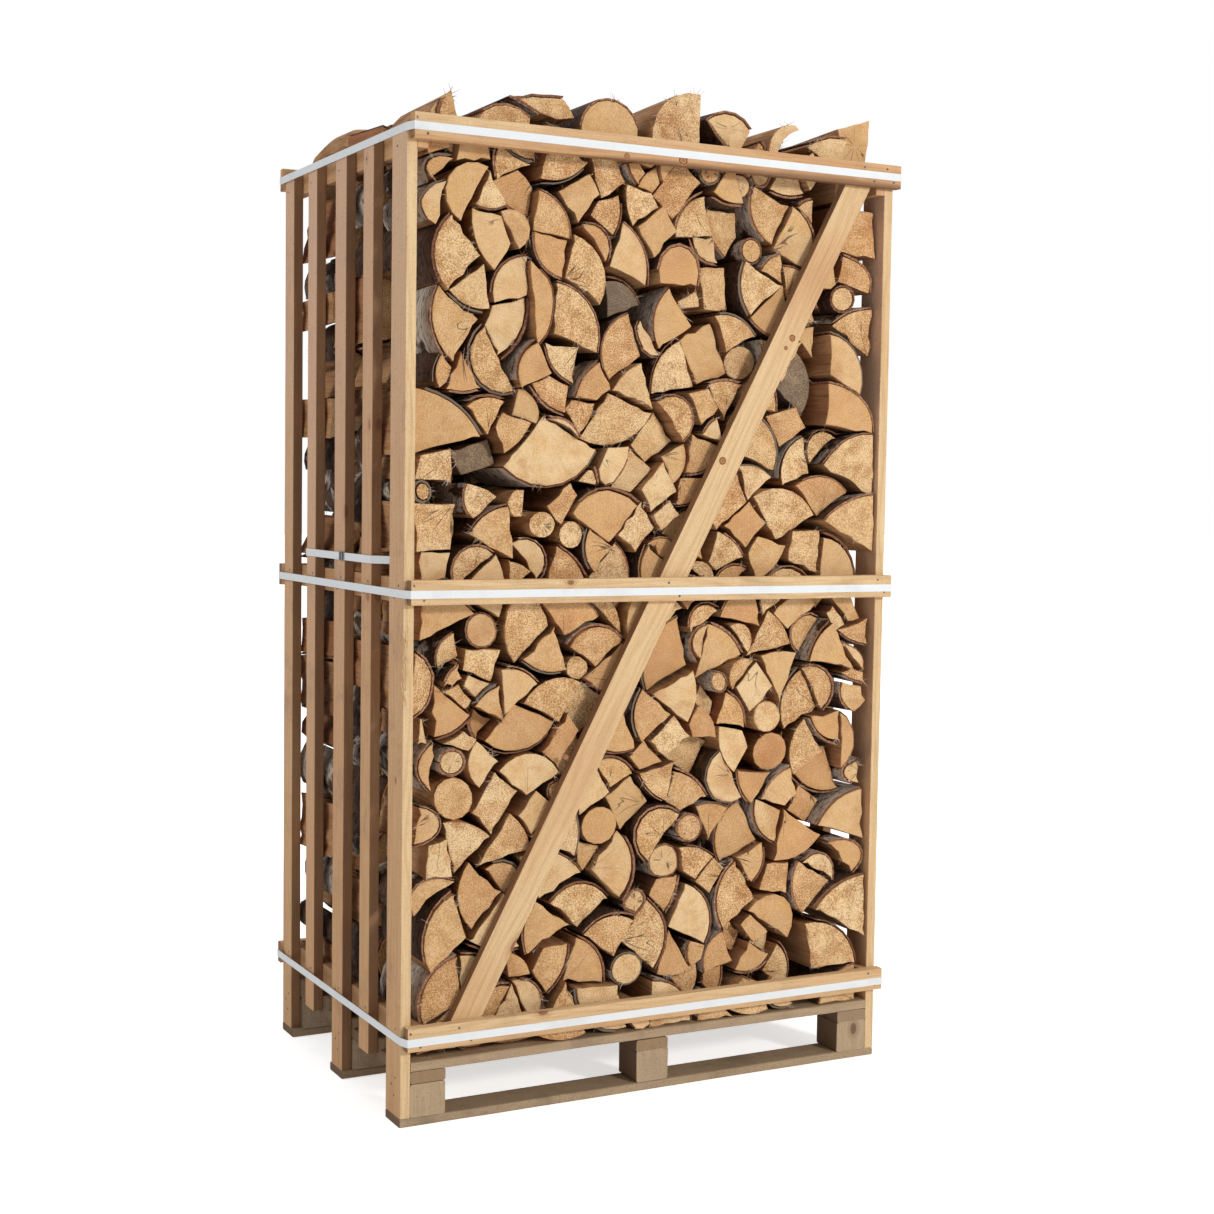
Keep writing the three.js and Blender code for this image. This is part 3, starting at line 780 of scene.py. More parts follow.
def stackLogs(seed, half, floor, roof, wanted=()):
    # Drops logs on the stack one by one: of several shapes, the one that wastes the least room stays.
    rng = random.Random(seed)
    column = stackStyle["column"]
    count = int(round(2 * half / column))
    sky = np.full(count, floor)
    limit = np.array([roof(x) for x in (np.arange(count) + 0.5) * column - half])
    kinds = list(logShapes)
    shares = [logShapes[kind]["share"] for kind in kinds]
    placed, waiting, failures = [], [], 0
    windowsOf = np.lib.stride_tricks.sliding_window_view

    for want in wanted:
        outline, bark = splitLog(want["kind"], want["radius"], want["spread"], rng)
        area, centre = areaCentre(outline)
        outline = turned(outline - centre, math.radians(want["turn"]))
        first, low, high = profile(outline, column)
        start = int(round((want["place"][0] + half) / column)) + first
        start = min(max(start, 0), count - len(low))
        pith = turned(-centre[None], math.radians(want["turn"]))[0]
        waiting.append({"start": start, "first": first, "low": low, "high": high, "z": want["place"][1],
                        "log": {**want, "outline": outline, "bark": bark, "pith": pith}})

    def score(outline, area, near=None):
        first, low, high = profile(outline, column)
        width = len(low)
        if width > count - 1:
            return None
        windows, roofs, start = windowsOf(sky, width), windowsOf(ceiling, width), 0
        if near is not None:
            start = max(0, near - 5)
            windows, roofs = windows[start:near + 6], roofs[start:near + 6]
            if not len(windows):
                return None
        rest = (windows - low).max(1)
        waste = (rest[:, None] + low - windows).sum(1) * column / area
        at = np.arange(start, start + len(rest))
        stepLeft = np.where(at < 3, 0, np.abs(rest + high[1] - sky[np.maximum(at - 2, 0)]))
        beyond = np.minimum(at + width + 1, count - 1)
        stepRight = np.where(at + width > count - 3, 0, np.abs(rest + high[-2] - sky[beyond]))
        steps = np.minimum(stepLeft, 0.08) + np.minimum(stepRight, 0.08)
        tall = max(0, (high.max() - low.min()) / (width * column) - 1.15)
        cost = waste + (rest + low.min() - sky.min()) * stackStyle["lowFirst"]
        cost = cost + steps * stackStyle["steps"]
        cost = cost + tall * stackStyle["tall"] - area * stackStyle["big"]
        cost = np.where((rest[:, None] + high <= roofs).all(1), cost, 99)
        best = int(cost.argmin())
        return (cost[best], best + start, first, rest[best], low, high)

    def settle(log, spot, first, rest, low, high):
        shift = np.array([(spot - first) * column - half, rest])
        log["outline"] = log["outline"] + shift
        log["pith"] = log["pith"] + shift
        placed.append(log)
        sky[spot:spot + len(low)] = np.maximum(sky[spot:spot + len(low)], rest + high)

    while failures < 5:
        ceiling = limit.copy()
        for want in list(waiting):
            start, low = want["start"], want["low"]
            under = slice(start, start + len(low))
            rest = (sky[under] - low).max()
            if rest > want["z"] - 0.03:
                settle(want["log"], start, want["first"], rest, low, want["high"])
                waiting.remove(want)
            else:
                ceiling[under] = np.minimum(ceiling[under], want["z"] + low + 0.03)
        best = None
        for _ in range(stackStyle["tries"]):
            kind = rng.choices(kinds, shares)[0]
            radius, spread = (rng.uniform(*logShapes[kind][key]) for key in ("radius", "spread"))
            size = rng.uniform(0.55, 0.9) if rng.random() < stackStyle["smallShare"] else 1.0
            if failures:
                size *= rng.uniform(0.5, 0.85)
            outline, bark = splitLog(kind, radius * size, spread, rng)
            area, centre = areaCentre(outline)
            angle = rng.uniform(0, 2 * math.pi)
            found = score(turned(outline - centre, angle), area)
            if found and found[0] < 50 and (best is None or found[0] < best[0][0]):
                best = (found, outline - centre, bark, -centre, angle, area, kind)
        if best is None:
            failures += 1
            for want in waiting[:1]:
                want["z"] = -9
            continue
        for change in stackStyle["turns"]:
            for sign in (-1, 1):
                angle = best[4] + sign * change
                found = score(turned(best[1], angle), best[5], best[0][1])
                if found and found[0] < best[0][0]:
                    best = (found, *best[1:4], angle, *best[5:])
        found, outline, bark, pith, angle, area, kind = best
        log = {"kind": kind, "outline": turned(outline, angle), "bark": bark}
        log["pith"] = turned(pith[None], angle)[0]
        settle(log, *found[1:])
    return placed


def isInside(points, outline):
    # which of the points lie inside an outline
    x, z = points[:, :1], points[:, 1:]
    ax, az = outline[:, 0], outline[:, 1]
    bx, bz = np.roll(ax, -1), np.roll(az, -1)
    crosses = (az > z) != (bz > z)
    at = ax + (z - az) * (bx - ax) / np.where(bz == az, 1e-9, bz - az)
    return ((x < at) & crosses).sum(1) % 2 == 1


def overlap(one, other):
    return isInside(one, other).any() or isInside(other, one).any()


def normalsOf(outline):
    tangent = np.roll(outline, -1, 0) - np.roll(outline, 1, 0)
    normal = np.stack([tangent[:, 1], -tangent[:, 0]], 1)
    return normal / np.maximum(np.linalg.norm(normal, axis=1, keepdims=True), 1e-9)


def fillHoles(logs, half, floor, seed):
    # Small split pieces go into the holes the stack leaves, the largest that fit first.
    rng = random.Random(seed)
    top = max(log["outline"][:, 1].max() for log in logs) - 0.1
    for size in fillers["sizes"]:
        middles = np.array([log["outline"].mean(0) for log in logs])
        for _ in range(fillers["tries"]):
            place = np.array([rng.uniform(0.02 - half, half - 0.02), rng.uniform(floor + 0.02, top)])
            kind = rng.choice(list(fillers["kinds"]))
            radius, spread = fillers["kinds"][kind]
            outline, bark = splitLog(kind, radius * size, spread, rng)
            centre = areaCentre(outline)[1]
            angle = rng.uniform(0, 2 * math.pi)
            near = [logs[j] for j in np.argsort(np.abs(middles - place).sum(1))[:12]]
            if any(isInside(place[None], log["outline"])[0] for log in near):
                continue
            outline = turned(outline - centre, angle) + place
            if abs(outline[:, 0]).max() > half or outline[:, 1].min() < floor:
                continue
            if any(overlap(outline, log["outline"]) for log in near):
                continue
            pith = turned(-centre[None], angle)[0] + place
            logs.append({"kind": kind, "outline": outline, "bark": bark, "pith": pith})
            middles = np.vstack([middles, place])
    return logs


def closeUp(logs, half, floor, seed):
    # Adds points along the split edges, then lets every outline swell into the gaps beside it.
    rng = np.random.default_rng(seed)
    for log in logs:
        points, bark = [], []
        outline = log["outline"]
        for i, point in enumerate(outline):
            after = outline[(i + 1) % len(outline)]
            length = np.hypot(*(after - point))
            pieces = 1 if log["bark"][i] else max(2, int(length / stackStyle["edgeStep"]))
            bark += [log["bark"][i]] * pieces
            points.append(point)
            for k in range(1, pieces):
                points.append(point + (after - point) * (k / pieces) + rng.normal(0, 0.0019, 2))
        log["outline"], log["bark"] = np.array(points), bark
    middles = np.array([log["outline"].mean(0) for log in logs])
    gap = stackStyle["gap"]
    for i, log in enumerate(logs):
        near = [j for j in np.argsort(np.abs(middles - middles[i]).sum(1))[:22] if j != i]
        starts = np.vstack([logs[j]["outline"] for j in near])
        ends = np.vstack([np.roll(logs[j]["outline"], -1, 0) for j in near])
        outline = log["outline"]
        normal = normalsOf(outline)
        edge = ends - starts
        offset = starts[None] - outline[:, None]
        cross = normal[:, None, 0] * edge[None, :, 1] - normal[:, None, 1] * edge[None, :, 0]
        cross = np.where(np.abs(cross) < 1e-12, 1e-12, cross)
        reach = (offset[..., 0] * edge[None, :, 1] - offset[..., 1] * edge[None, :, 0]) / cross
        share = (offset[..., 0] * normal[:, None, 1] - offset[..., 1] * normal[:, None, 0]) / cross
        free = np.where((reach > 0) & (share > -0.05) & (share < 1.05), reach, 1.0).min(1)
        grow = np.clip(free - gap, 0, stackStyle["grow"]) * rng.uniform(0.5, 1.0, len(free))
        steps = [grow * share for share in (1, 0.5, 0.2, 0)]
        steps += [grow * 0 - inward for inward in (0.002, 0.004, 0.006)]
        for step in steps:
            grown = outline + normal * step[:, None]
            around = grown + normal * gap
            if not any(overlap(around, logs[j]["outline"]) for j in near[:12]):
                break
        grown[:, 0] = np.clip(grown[:, 0], -half - 0.004, half + 0.004)
        grown[:, 1] = np.maximum(grown[:, 1], floor)
        log["outline"] = grown
    return logs


def atRail(low, high, rails, room):
    # whether a log lies at the height of a rail
    return any(low[1] < railHigh.z + room and high[1] > railLow.z - room for railLow, railHigh in rails)


def loosenEnds(logs, half, reach, seed):
    # The logs at the ends of a rank lie unevenly: most reach out between the rails, a few leave a hole.
    rng = random.Random(seed)
    rails = [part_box("right_inner_rail_" + level) for level in ("bottom", "middle", "top")]
    spans = [(log["outline"].min(0), log["outline"].max(0)) for log in logs]
    middles = np.array([log["outline"].mean(0) for log in logs])

    def widened(log, anchor, wider, taller=1.0, shift=0.0):
        return {key: (log[key] - anchor) * (wider, taller) + anchor + (shift, 0)
                for key in ("outline", "pith")}

    def core(outline):
        centre = outline.mean(0)
        return centre + (outline - centre) * 0.95

    def clear(changed, near):
        outline = changed["outline"]
        return not any(isInside(core(outline), logs[j]["outline"]).any() or
                       isInside(core(logs[j]["outline"]), outline).any() for j in near)

    for i, log in enumerate(logs):
        low, high = spans[i]
        besideRail = atRail(low, high, rails, 0.004)
        tall = high[1] - low[1]
        near = np.argsort(np.abs(middles - middles[i]).sum(1))[1:10]
        for side, edge in ((-1, -low[0]), (1, high[0])):
            covered = any(min(high[1], most[1]) - max(low[1], least[1]) > 0.3 * tall
                          and max(side * least[0], side * most[0]) > edge + 0.002
                          for least, most in (spans[j] for j in near))
            if edge < half - (0.03 if covered else 0.10):
                continue
            log.setdefault("barkShare", 1.0)
            log.setdefault("back", rng.uniform(0, 0.012))
            anchor = np.array([high[0] if side < 0 else low[0], low[1]])
            if rng.random() < stackStyle["hole"] and high[0] - low[0] < 0.15 and not besideRail:
                log.update(widened(log, anchor, rng.uniform(0.62, 0.8), 0.9))
                continue
            wanted = max(0, rng.uniform(*stackStyle["lean"]) * ((half if besideRail else reach) - edge))
            for stretch, shift in ((1, 0), (0.6, 0.4), (0.3, 0.7), (0.5, 0.1), (0, 0.7), (0, 0.3)):
                if log["kind"] == "round":
                    stretch, shift = 0, stretch + shift
                wider = min(1.6, 1 + wanted * stretch / (high[0] - low[0]))
                changed = widened(log, anchor, wider, 1.0, side * wanted * shift)
                if clear(changed, near):
                    log.update(changed)
                    break
            for taller in (1.12, 1.07, 1.03):
                changed = widened(log, anchor, 1.0, taller)
                if clear(changed, near):
                    log.update(changed)
                    break
    return logs


# How a log is made from its outline
logBuild = {
    "chamfer": (0.0010, 0.0022), "round": 0.0009, "taper": 0.03, "drift": 0.004, "tilt": 0.05,
    "wave": 0.0011, "stages": (0.012, 0.045, 0.5), "barkShare": 0.7, "barkThick": (0.0026, 0.0060),
    "barkGap": (0.0004, 0.0022), "peelShare": 0.3, "peel": 0.007, "barkProud": (-0.004, 0.003), "furry": 0.7,
    "broad": 0.075,
}
setBacks = ((0.56, 0.0, 0.008), (0.85, 0.008, 0.024), (0.98, 0.024, 0.055), (1.0, 0.055, 0.09))
fibreShape = {"width": (0.0003, 0.0009), "length": (0.005, 0.022), "bunch": (4, 11)}


def drawOut(bm, outline, stages, placeOf):
    # draws an outline out along Y through its stages, and returns its faces: start, end and sides
    corner = bm.verts.layers.int.get("corner") or bm.verts.layers.int.new("corner")
    verts = []
    for i, (x, z) in enumerate(outline):
        vert = bm.verts.new(placeOf(x, z, *stages[0]))
        vert[corner] = i
        verts.append(vert)
    start = cap = bm.faces.new(verts)
    sides = set()
    for stage in stages[1:]:
        made = bmesh.ops.extrude_face_region(bm, geom=[cap])["geom"]
        cap = next(part for part in made if isinstance(part, bmesh.types.BMFace))
        for vert in cap.verts:
            x, z = outline[vert[corner]]
            vert.co = placeOf(x, z, *stage)
        sides.update(f for e in cap.edges for f in e.link_faces if f is not cap)
    return start, cap, sides, corner


def addFibres(bm, grain, tint, points, normals, y, toward, rng):
    # bunches of torn fibres along the edge of a cut end
    for _ in range(rng.randint(1, 3)):
        at = rng.randrange(len(points))
        for _ in range(rng.randint(*fibreShape["bunch"])):
            spot = points[at] + (points[(at + 1) % len(points)] - points[at]) * rng.random()
            aim = Vector((normals[at][0] + rng.gauss(0, 0.9), toward * rng.uniform(-0.2, 0.8),
                          normals[at][1] + rng.gauss(0, 0.9))).normalized()
            length = rng.uniform(*fibreShape["length"])
            middle = Vector((spot[0], y - toward * 0.001, spot[1])) + aim * length * 0.4
            faces = addCone(bm, middle, aim, rng.uniform(*fibreShape["width"]), 0.0001, length, 3, 4)
            shade = (rng.random(), 0.0, rng.random(), 1.0)
            for face in faces:
                for loop in face.loops:
                    loop[grain].uv = (loop.vert.co.x, loop.vert.co.z)
                    loop[tint] = shade


def addLog(bm, grain, tint, log, near, far, rng, mirror=1.0):
    # near is the end that shows, and far the hidden one
    outline, pith = log["outline"] * (mirror, 1.0), log["pith"] * (mirror, 1.0)
    bark = list(log["bark"])
    count = len(outline)
    if mirror < 0:
        outline = outline[::-1]
        bark = [bark[(count - 2 - i) % count] for i in range(count)]
    middle = outline.mean(0)
    toward = 1.0 if near > far else -1.0
    size = np.linalg.norm(outline - pith, axis=1).max()
    colour = (log.get("tone", rng.random()), log.get("age", 0.0), rng.random(), min(1.0, size * 5))
    tilt = [rng.gauss(0, logBuild["tilt"]) for _ in range(2)]
    lean = max(tilt[0] * (x - middle[0]) + tilt[1] * (z - middle[1]) for x, z in outline)
    drift = [rng.gauss(0, logBuild["drift"]) for _ in range(2)]
    taper = 1 - rng.uniform(0, logBuild["taper"])

    def stagesAt(*shares):
        return [(near + (far - near) * share, share) for share in shares]

    stages = [(far, 1.0), *stagesAt(*reversed(logBuild["stages"])), (near, 0.0)]
    shift = Vector((rng.uniform(0, 90), rng.uniform(0, 90), rng.uniform(0, 90)))
    crook = log.get("crook", 0.0)
    if crook:
        stages[1:1] = stagesAt(0.9, 0.8, 0.7, 0.6)
        stages[-3:-3] = stagesAt(0.4, 0.3, 0.2, 0.1)

    def placeOf(x, z, y, share):
        dx, dz = x - middle[0], z - middle[1]
        scale = 1 + (taper - 1) * share
        wave = noise.noise_vector(Vector((x * 60, y * 9, z * 60)) + shift)
        wave = wave * logBuild["wave"] * min(1, share * 12 + 0.3)
        tip = toward * (tilt[0] * dx + tilt[1] * dz - lean) * max(0, 1 - share * 2)
        hump = crook * math.sin(share * math.pi)
        return Vector((middle[0] + dx * scale + drift[0] * share + wave.x, y + tip,
                       middle[1] + dz * scale + drift[1] * share + wave.z + hump))

    wood = outline.copy()
    normals = normalsOf(outline)
    coated = any(bark) and rng.random() < log.get("barkShare", logBuild["barkShare"])
    if coated:
        thick = rng.uniform(*logBuild["barkThick"])
        gap = rng.uniform(*logBuild["barkGap"])
        peel = rng.uniform(0.3, 1.0) * logBuild["peel"] if rng.random() < logBuild["peelShare"] else 0.0
        whole = all(bark)
        first = 0 if whole else next(i for i in range(count) if bark[i] and not bark[i - 1])
        run = [(first + k) % count for k in range(sum(bark) + (0 if whole else 1))]
        backwards = rng.random() < 0.5
        depths = []
        for k, i in enumerate(run):
            share = k / (len(run) - 1)
            share = 1 - share if backwards else share
            depths.append(gap + peel * share ** 2 * (0.3 if whole else 1))
            edge = normals[i]
            if not whole and k in (0, len(run) - 1):
                a, b = (run[0], run[1]) if k == 0 else (run[-2], run[-1])
                along = outline[b] - outline[a]
                edge = np.array([along[1], -along[0]]) / max(np.hypot(*along), 1e-9)
            wood[i] = outline[i] - edge * (depths[-1] + thick)
        outer = [outline[i] for i in run]
        inner = [outline[i] - normals[i] * thick * rng.uniform(0.75, 1.0) for i in run]
        if not whole and rng.random() < 0.4:
            outer, inner = outer[:-1], inner[:-1]
        if whole:
            outer.append(outer[-1] * 0.25 + outer[0] * 0.75)
            inner.append(inner[-1] * 0.25 + inner[0] * 0.75)
        proud = toward * rng.uniform(*logBuild["barkProud"])
        strip = outer + inner[::-1]
        start, cap, sides, corner = drawOut(bm, strip, stages[:-1] + [(near + proud, 0.0)], placeOf)
        turn = len(outer)
        for face in [start, cap, *sides]:
            along = {vert[corner] for vert in face.verts}
            outside = face in sides and max(along) < turn
            face.material_index = 2 if outside else 3
            for loop in face.loops:
                k = loop.vert[corner]
                u = (k if k < turn else 2 * turn - 1 - k) * 0.016
                loop[grain].uv = (u, loop.vert.co.y) if face in sides else (loop.vert.co.x, loop.vert.co.z)
                loop[tint] = colour

    start, cap, sides, corner = drawOut(bm, wood, stages, placeOf)
    girths = np.concatenate([[0], np.cumsum(np.hypot(*(np.roll(wood, -1, 0) - wood).T))])
    for face in sides:
        pair = sorted({vert[corner] for vert in face.verts})
        wraps = pair == [0, count - 1]
        i = count - 1 if wraps else pair[0]
        face.material_index = 5 if bark[i] else 1
        face.smooth = bool(bark[i])
        for loop in face.loops:
            k = loop.vert[corner]
            loop[grain].uv = (girths[count if wraps and k == 0 else k], loop.vert.co.y)
            loop[tint] = colour
    made = bmesh.ops.inset_region(bm, faces=[cap], thickness=rng.uniform(*logBuild["chamfer"]),
                                  use_even_offset=False, use_boundary=True)
    for vert in cap.verts:
        vert.co.y += toward * logBuild["round"]
    for face in [start, cap, *made["faces"]]:
        for loop in face.loops:
            loop[grain].uv = (loop.vert.co.x - pith[0], loop.vert.co.z - pith[1])
            loop[tint] = colour
    if rng.random() < logBuild["furry"] and abs(near) > 0.3:
        addFibres(bm, grain, tint, wood, normals, near, toward, rng)


def setBack(rng):
    pick = rng.random()
    for share, least, most in setBacks:
        if pick <= share:
            return rng.uniform(least, most)


def finishLogs(bm, name, node):
    bmesh.ops.recalc_face_normals(bm, faces=bm.faces)
    materials = [cutEnd, splitFace, birchBark, barkEdge, tornFibre, bareSide]
    return finishPiece(bm, name, materials, [node])


def buildRank(node, label, logs, bays, seed, facing, mirror=1.0):
    rng = random.Random(seed)
    low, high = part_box(node)
    width = (high.x - low.x) / bays
    meshes = [startPiece()[0] for _ in range(bays)]
    scratch = bpy.data.meshes.new("scratch")
    for log in logs:
        middle = log["outline"][:, 0].mean() * mirror
        narrowness = min(1, logBuild["broad"] / np.ptp(log["outline"], axis=0).max())
        back = log.get("back", setBack(rng) * narrowness)
        near, far = (low.y + back, high.y) if facing < 0 else (high.y - back, low.y)
        bm, grain, tint = startPiece()
        addLog(bm, grain, tint, log, near, far + facing * rng.uniform(0, 0.012), rng, mirror)
        bm.to_mesh(scratch)
        bm.free()
        meshes[min(bays - 1, max(0, int((middle - low.x) / width)))].from_mesh(scratch)
    for i, bm in enumerate(meshes):
        finishLogs(bm, f"{label}_{i + 1}", node)


def endOutline(node):
    # the outline of a prism's front face, and which of its edges belong to an arc
    bm = bmesh.new()
    bm.from_mesh(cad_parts[node].data)
    bmesh.ops.remove_doubles(bm, verts=bm.verts, dist=1e-5)
    front = [f for f in bm.faces if f.normal.y < -0.9]
    face = bmesh.ops.dissolve_faces(bm, faces=front)["region"][0]
    outline = np.array([(v.co.x, v.co.z) for v in face.verts])
    bm.free()
    if areaCentre(outline)[0] < 0:
        outline = outline[::-1]
    outline = np.roll(outline, -int(np.lexsort(outline.T.round(5))[0]), 0)  # the lowest corner is first
    before, after = outline - np.roll(outline, 1, 0), np.roll(outline, -1, 0) - outline
    bends = [abs(math.atan2(a[0] * b[1] - a[1] * b[0], a @ b)) for a, b in zip(before, after)]
    smooth = [bend < math.radians(26) for bend in bends]
    return outline, [int(smooth[i] or smooth[(i + 1) % len(smooth)]) for i in range(len(smooth))]


# Crown logs of a given tone, all without bark
crownTones = {"top_log_1": 0.3, "top_log_5": 0.9, "top_log_7": 0.9, "top_log_8": 0.5}


def buildCrown():
    # the logs on top of the front rank, one piece each
    rng = random.Random(53)
    nodes = sorted(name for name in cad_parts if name.startswith("top_log_"))
    for node in nodes:
        low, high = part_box(node)
        outline, bark = endOutline(node)
        arc = [i for i, isBark in enumerate(bark) if isBark]
        middle = outline.mean(0)
        pith = middle + (middle - outline[arc].mean(0)) * 0.9 if arc else middle
        log = closeUpAlone({"outline": outline, "bark": bark, "pith": pith}, rng)
        if node in crownTones:
            log.update({"tone": crownTones[node], "barkShare": 0})
        bm, grain, tint = startPiece()
        addLog(bm, grain, tint, log, low.y, high.y, rng)
        finishLogs(bm, node + "_split", node)


def closeUpAlone(log, rng):
    # points along the long edges of one log, a little uneven
    points, bark = [], []
    for i, point in enumerate(log["outline"]):
        after = log["outline"][(i + 1) % len(log["outline"])]
        pieces = max(1, int(np.hypot(*(after - point)) / stackStyle["edgeStep"]))
        bark += [log["bark"][i]] * pieces
        points.append(point)
        for k in range(1, pieces):
            wobble = (rng.gauss(0, 0.0012), rng.gauss(0, 0.0012))
            points.append(point + (after - point) * (k / pieces) + wobble)
    return {**log, "outline": np.array(points), "bark": bark}


def chosen(kind, radius, spread, turn, place, tone, **more):
    # a log of a wanted shape, and where its middle lies
    log = {"kind": kind, "radius": radius, "spread": spread, "turn": turn, "place": place, "tone": tone}
    return {**log, **more}


# Logs of the front that catch the eye
eyeCatchers = [
    chosen("quarter", 0.150, 105, -80, (-0.244, 1.332), 1.0, back=0.0),
    chosen("wedge", 0.090, 80, 60, (-0.078, 1.655), 0.4, age=0.95, back=0.03),
    chosen("quarter", 0.095, 100, 10, (0.362, 1.524), 0.5, age=0.9, back=0.03),
    chosen("chunk", 0.045, 0, 15, (-0.395, 1.341), 0.5, age=0.85, back=0.05),
    chosen("half", 0.066, 230, 90, (0.048, 1.721), 0.1, back=0.0),
    chosen("round", 0.034, 360, 0, (-0.264, 1.201), 0.7, back=0.0),
    chosen("round", 0.033, 360, 0, (-0.460, 0.698), 0.8, back=0.0),
    chosen("round", 0.036, 360, 40, (0.095, 0.567), 0.7, back=0.0),
    chosen("round", 0.037, 360, 0, (0.040, 0.480), 0.7, back=0.01),
    chosen("round", 0.042, 360, 0, (-0.051, 0.291), 0.9, back=0.0),
    chosen("round", 0.038, 360, 0, (0.289, 0.775), 0.9, back=0.0),
    chosen("round", 0.034, 360, 0, (0.462, 1.700), 0.6, back=0.0),
    chosen("quarter", 0.115, 96, 52, (0.466, 0.262), 0.7, back=0.0),
]
# Two broad bent logs at the ends of the heap behind
heapEnds = [
    chosen("half", 0.088, 165, 84, (-0.452, 1.998), 0.3, barkShare=0, crook=0.014),
    chosen("half", 0.092, 170, 94, (0.450, 2.000), 0.3, barkShare=0, crook=0.018),
]


def heapTop(seed, height, swell):
    return lambda x: height + swell * noise.noise(Vector((x * 4.2, seed * 3.7, 0.5)))


def crownRoof(x):
    # the front rank ends under the logs that crown it, and rises a little between them
    crowns = [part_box(node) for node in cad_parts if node.startswith("top_log_")]
    over = [low.z - 0.001 for low, high in crowns if low.x - 0.004 < x < high.x + 0.004]
    return min(over) if over else stackStyle["frontTop"]


# Where the front logs give way to the brace, and how far the ones at the right end stand out
forward = {
    "braceSlope": 0.5, "braceReach": 0.08, "braceTop": 1.66, "rightFrom": 0.5, "out": (-0.020, -0.004),
}


def bringForward(logs, rank):
    # the lowest logs of the front come forward to the bottom rail, except beside the brace, and those at
    # the right end stand out between the rails
    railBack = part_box("front_rail_bottom")[1].y + 0.002
    rails = [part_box("front_rail_" + level) for level in ("bottom", "middle", "top")]
    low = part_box("front_brace")[0]
    rng = random.Random(71)
    for log in logs:
        least, most = log["outline"].min(0), log["outline"].max(0)
        if least[1] < rank.z + 0.02:
            # the lowest logs get pale tones, painted light on the ends that show under the bottom rail
            log["tone"] = rng.uniform(0.6, 1.0)
            braceEnd = low.x + forward["braceReach"] + (most[1] - low.z) * forward["braceSlope"]
            beside = least[0] - 0.02 < braceEnd and most[0] > low.x - 0.02
            log["back"] = rng.uniform(0, 0.004) if beside else railBack + rng.uniform(0, 0.006) - rank.y
        elif most[0] > forward["rightFrom"]:
            beside = atRail(least, most, rails, 0.006) or most[1] > forward["braceTop"]
            log["back"] = rng.uniform(0, 0.004) if beside else rng.uniform(*forward["out"])
    return logs


def buildLogs():
    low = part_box("log_rank_front")[0]
    floor = low.z
    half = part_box("right_inner_rail_middle")[0].x - 0.002
    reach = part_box("right_post_front")[0].x - 0.002
    inside = half - 0.004
    front = fillHoles(stackLogs(7, inside, floor, crownRoof, eyeCatchers), inside, floor, 5)
    front = closeUp(front, inside, floor, 1)
    front = bringForward(loosenEnds(front, half, reach, 3), low)
    print("front rank is stacked:", len(front))
    top = heapTop(2, stackStyle["backTop"], stackStyle["swell"])
    back = fillHoles(stackLogs(19, inside, floor, top, heapEnds), inside, floor, 6)
    back = loosenEnds(closeUp(back, inside, floor, 2), half, reach, 4)
    print("back rank is stacked:", len(back))
    buildRank("log_rank_front", "front_logs", front, 6, 31, -1)
    buildRank("log_rank_back", "back_logs", back, 4, 37, 1)
    buildRank("log_rank_middle", "middle_logs", back, 2, 41, -1, mirror=-1.0)
    buildCrown()


buildLogs()
print("logs are stacked")


# Floor, light and view
studio = {
    "fill": 0.39, "backdrop": 1.0, "glowFrom": 0.8, "glowTo": 2.8, "glowNear": 0.62, "bounce": 0.12,
}
# Place, aim, size, power and colour of each lamp
lamps = {
    "key": ((2.4, -6.4, 3.1), (0, 0, 1.0), 0.8, 243, (1.0, 0.97, 0.93)),
    "left": ((-5.2, 0.0, 3.6), (-0.5, 0, 1.0), 2.4, 63, (1.0, 0.98, 0.96)),
    "top": ((0.3, 0.2, 6.0), (0, 0, 1.0), 3.0, 80, (1.0, 0.99, 0.97)),
}


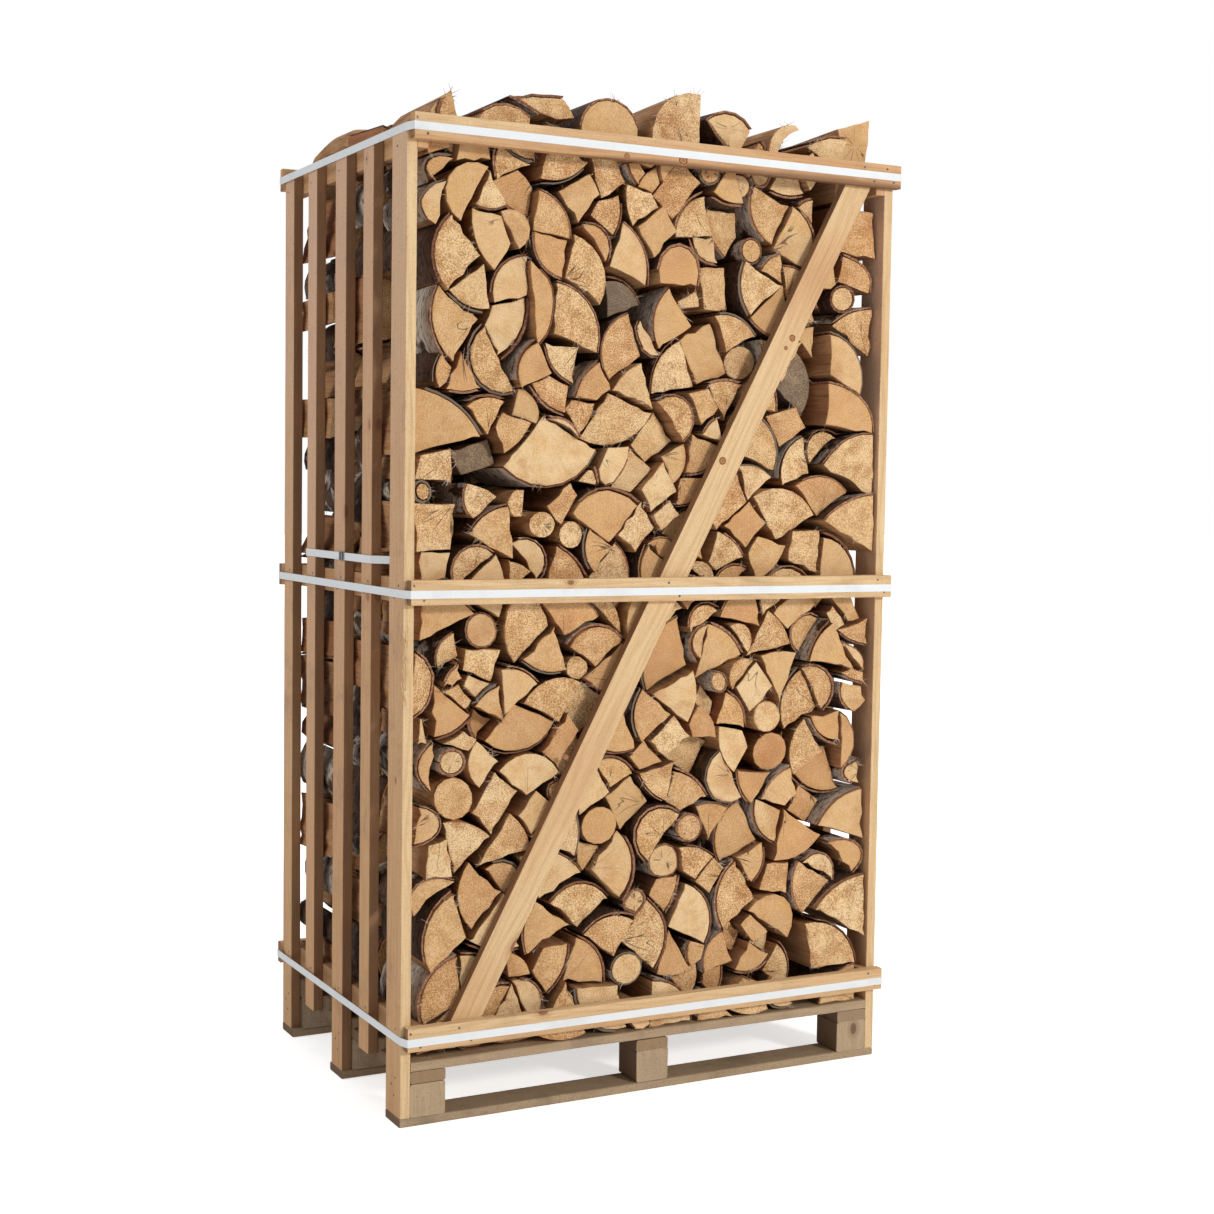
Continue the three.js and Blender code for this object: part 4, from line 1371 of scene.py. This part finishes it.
def addFloor():
    bm = bmesh.new()
    bmesh.ops.create_grid(bm, x_segments=1, y_segments=1, size=40.0)
    mesh = bpy.data.meshes.new("floor")
    bm.to_mesh(mesh)
    bm.free()
    floor = bpy.data.objects.new("floor", mesh)
    bpy.context.scene.collection.objects.link(floor)
    s = Sheet("studio_floor")
    away = s.vectors("LENGTH", s.node("TexCoord", {}, {}, "Object"), output=1)
    glow = s.fade(away, studio["glowFrom"], studio["glowTo"], studio["glowNear"], 1.0)
    seen = s.node("LightPath", {}, {}, "Is Camera Ray")
    glow = seen * (glow - studio["bounce"]) + studio["bounce"]
    glow = {"Emission_Color": s.join(glow, glow, glow), "Emission_Strength": 1.0}
    mesh.materials.append(s.finish(paint(250, 250, 250), 0.9, 0.0, **glow))


def addLamp(name, place, target, size, power, colour):
    lamp = bpy.data.lights.new(name, "AREA")
    lamp.shape = "SQUARE"
    lamp.size = size
    lamp.energy = power
    lamp.color = colour
    held = bpy.data.objects.new(name, lamp)
    held.location = place
    held.rotation_mode = "QUATERNION"
    held.rotation_quaternion = (Vector(target) - Vector(place)).to_track_quat("-Z", "Y")
    bpy.context.scene.collection.objects.link(held)


def addStudio():
    world = bpy.data.worlds.new("studio")
    world.use_nodes = True
    bpy.context.scene.world = world
    tree = world.node_tree
    tree.nodes.clear()
    rays = tree.nodes.new("ShaderNodeLightPath")
    strength = tree.nodes.new("ShaderNodeMapRange")
    strength.inputs["To Min"].default_value = studio["fill"]
    strength.inputs["To Max"].default_value = studio["backdrop"]
    background = tree.nodes.new("ShaderNodeBackground")
    output = tree.nodes.new("ShaderNodeOutputWorld")
    background.inputs["Color"].default_value = (1.0, 1.0, 1.0, 1.0)
    tree.links.new(rays.outputs["Is Camera Ray"], strength.inputs["Value"])
    tree.links.new(strength.outputs["Result"], background.inputs["Strength"])
    tree.links.new(background.outputs["Background"], output.inputs["Surface"])
    for name, settings in lamps.items():
        addLamp(name, *settings)
    bpy.context.scene.view_settings.view_transform = "Standard"


addFloor()
addStudio()
print("floor and lamps are set")
